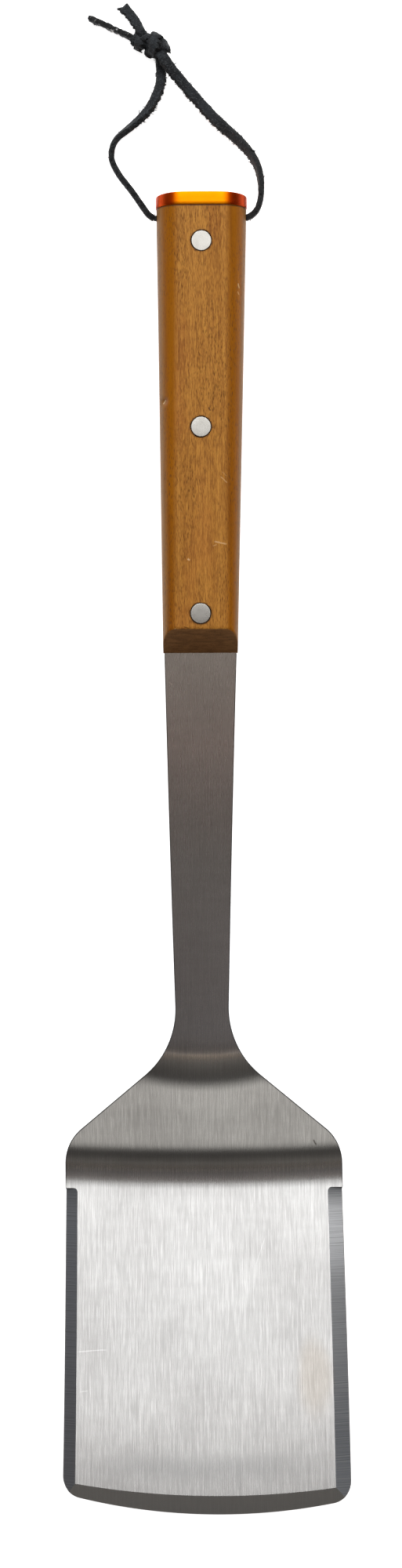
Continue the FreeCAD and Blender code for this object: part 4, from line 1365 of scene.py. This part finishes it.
def make_cap():
    grow, edge = 0.3, 0.32
    angles = np.linspace(0, pi / 2, 7)
    stations = [(edge * (1 - cos(a)), grow - edge * (1 - sin(a))) for a in angles]
    stations += [(2.0, grow + 0.02), (3.4, grow + 0.02), (CAP_LENGTH - 0.3, grow)]
    stations += [(CAP_LENGTH - 0.08, grow - 0.12), (CAP_LENGTH, grow - 0.3)]
    verts = []
    for d, g in stations:
        ring = rounded_box(BUTT_HALF + g, HALF_THICK + g, BUTT_CORNER + g, 8, 10)
        verts += [(x, -d - crown(x) * (1 - d / CAP_LENGTH), z) for x, z in ring]
    rows, cols, base = len(stations), len(ring), len(verts)
    inner = rounded_box(BUTT_HALF - 3.0, HALF_THICK - 3.0, BUTT_CORNER - 3.0, 8, 10)
    verts += [(x, -crown(x), z) for x, z in inner]
    faces = grid_faces(rows, cols, closed=True)
    faces += [(base + i, base + (i + 1) % cols, (i + 1) % cols, i) for i in range(cols)]
    faces += [tuple(range(base, base + cols)), tuple(range(base - cols, base))[::-1]]
    obj = new_object("orange_end_cap", to_frame(verts), faces, cap_material())
    fix_normals(obj)
    sharpen(obj, 30)
    finish_piece(obj, "spatula", "cap", "end_cap")


def cap_material():
    m = Nodes("orange_anodised")
    facing = m.xyz(m.node("TexCoord").outputs["Normal"])
    lines = m.grain((30, 3000, 3000), 3.0)
    cloud = m.noise(m.at, scale=180.0, detail=4.0)
    m.colour = m.mix(m.grey(cloud, 0.3, 0.7), srgb(255, 154, 5), srgb(250, 143, 5))
    # painted shade: the sides are painted deeper red by how far they face sideways, darker still over the
    # rounding and more on the +X side
    side = m.grey(m.size(facing[0]), 0.06, 0.40, 0.0, 1.0, True)
    m.paint(side, srgb(214, 74, 0))
    deeper_shade = m.minus(1.0, m.grey(m.size(facing[0]), 0.74, 0.98, 0.0, 0.8))
    deeper_shade = m.times(deeper_shade, m.grey(facing[0], -0.2, 0.2, 0.40, 0.66))
    m.paint(m.times(side, deeper_shade), srgb(130, 30, 0))
    rough = m.grey(lines, 0.3, 0.7, 0.38, 0.46)
    return m.principled(Base_Color=m.colour, Metallic=1.0, Roughness=rough,
                        Normal=m.bump(lines, 0.2, 0.00003))


def rivet_material():
    m = Nodes("rivet_metal")
    lines = m.grain((1800, 220, 220), 3.0)
    cloud = m.noise(m.at, scale=420.0, detail=4.0)
    m.colour = m.mix(m.grey(cloud, 0.35, 0.7), srgb(183, 181, 176), srgb(176, 174, 168))
    m.paint(m.grey(lines, 0.5, 0.7, 0.0, 0.35), srgb(166, 163, 156))
    rough = m.grey(cloud, 0.3, 0.7, 0.25, 0.28)
    return m.principled(Base_Color=m.colour, Metallic=1.0, Roughness=rough,
                        Normal=m.bump(lines, 0.02, 0.00002))


# A rivet's flush head: radius and height above the wood, then where its barrel or pin goes in
HEAD = ((0.0, 0.01), (1.2, 0.01), (3.38, 0.01), (3.42, 0.008), (3.50, -0.03), (3.55, -0.12), (3.56, -0.4),
        (3.58, -2.2))
BARREL, PIN = ((2.3, -2.2), (2.3, -7.6)), ((1.55, -2.2), (1.55, -2.6))


def make_rivets():
    metal, seg = rivet_material(), 56
    for k, d in enumerate(RIVETS, 1):
        for sign, side, part, stem in ((1, "front", "barrel", BARREL), (-1, "back", "pin", PIN)):
            profile = HEAD + stem
            verts = []
            for r, z in profile[1:]:
                for a in around(seg):
                    rough_r = r * (1 + 0.006 * noise.noise(Vector((cos(a) * 2, sin(a) * 2, k + sign))))
                    verts.append((rough_r * cos(a), -d + rough_r * sin(a), sign * (HALF_THICK + z)))
            rows, top = len(profile) - 1, len(verts)
            verts += [(0, -d, sign * (HALF_THICK + profile[end][1])) for end in (0, -1)]
            faces = grid_faces(rows, seg, closed=True)
            faces += [(top, i, (i + 1) % seg) for i in range(seg)]
            faces += [(top + 1, top - seg + (i + 1) % seg, top - seg + i) for i in range(seg)]
            obj = new_object(f"rivet_{k}_{side}", to_frame(verts), faces, metal)
            fix_normals(obj)
            sharpen(obj, 40)
            finish_piece(obj, "spatula", "rivet", f"rivet_{k}_{part}")


make_camera()
make_lace()
make_stage()
make_blank()
make_scale(1, "wood_front", "handle_scale_front")
make_scale(-1, "wood_back", "handle_scale_back")
make_cap()
make_rivets()
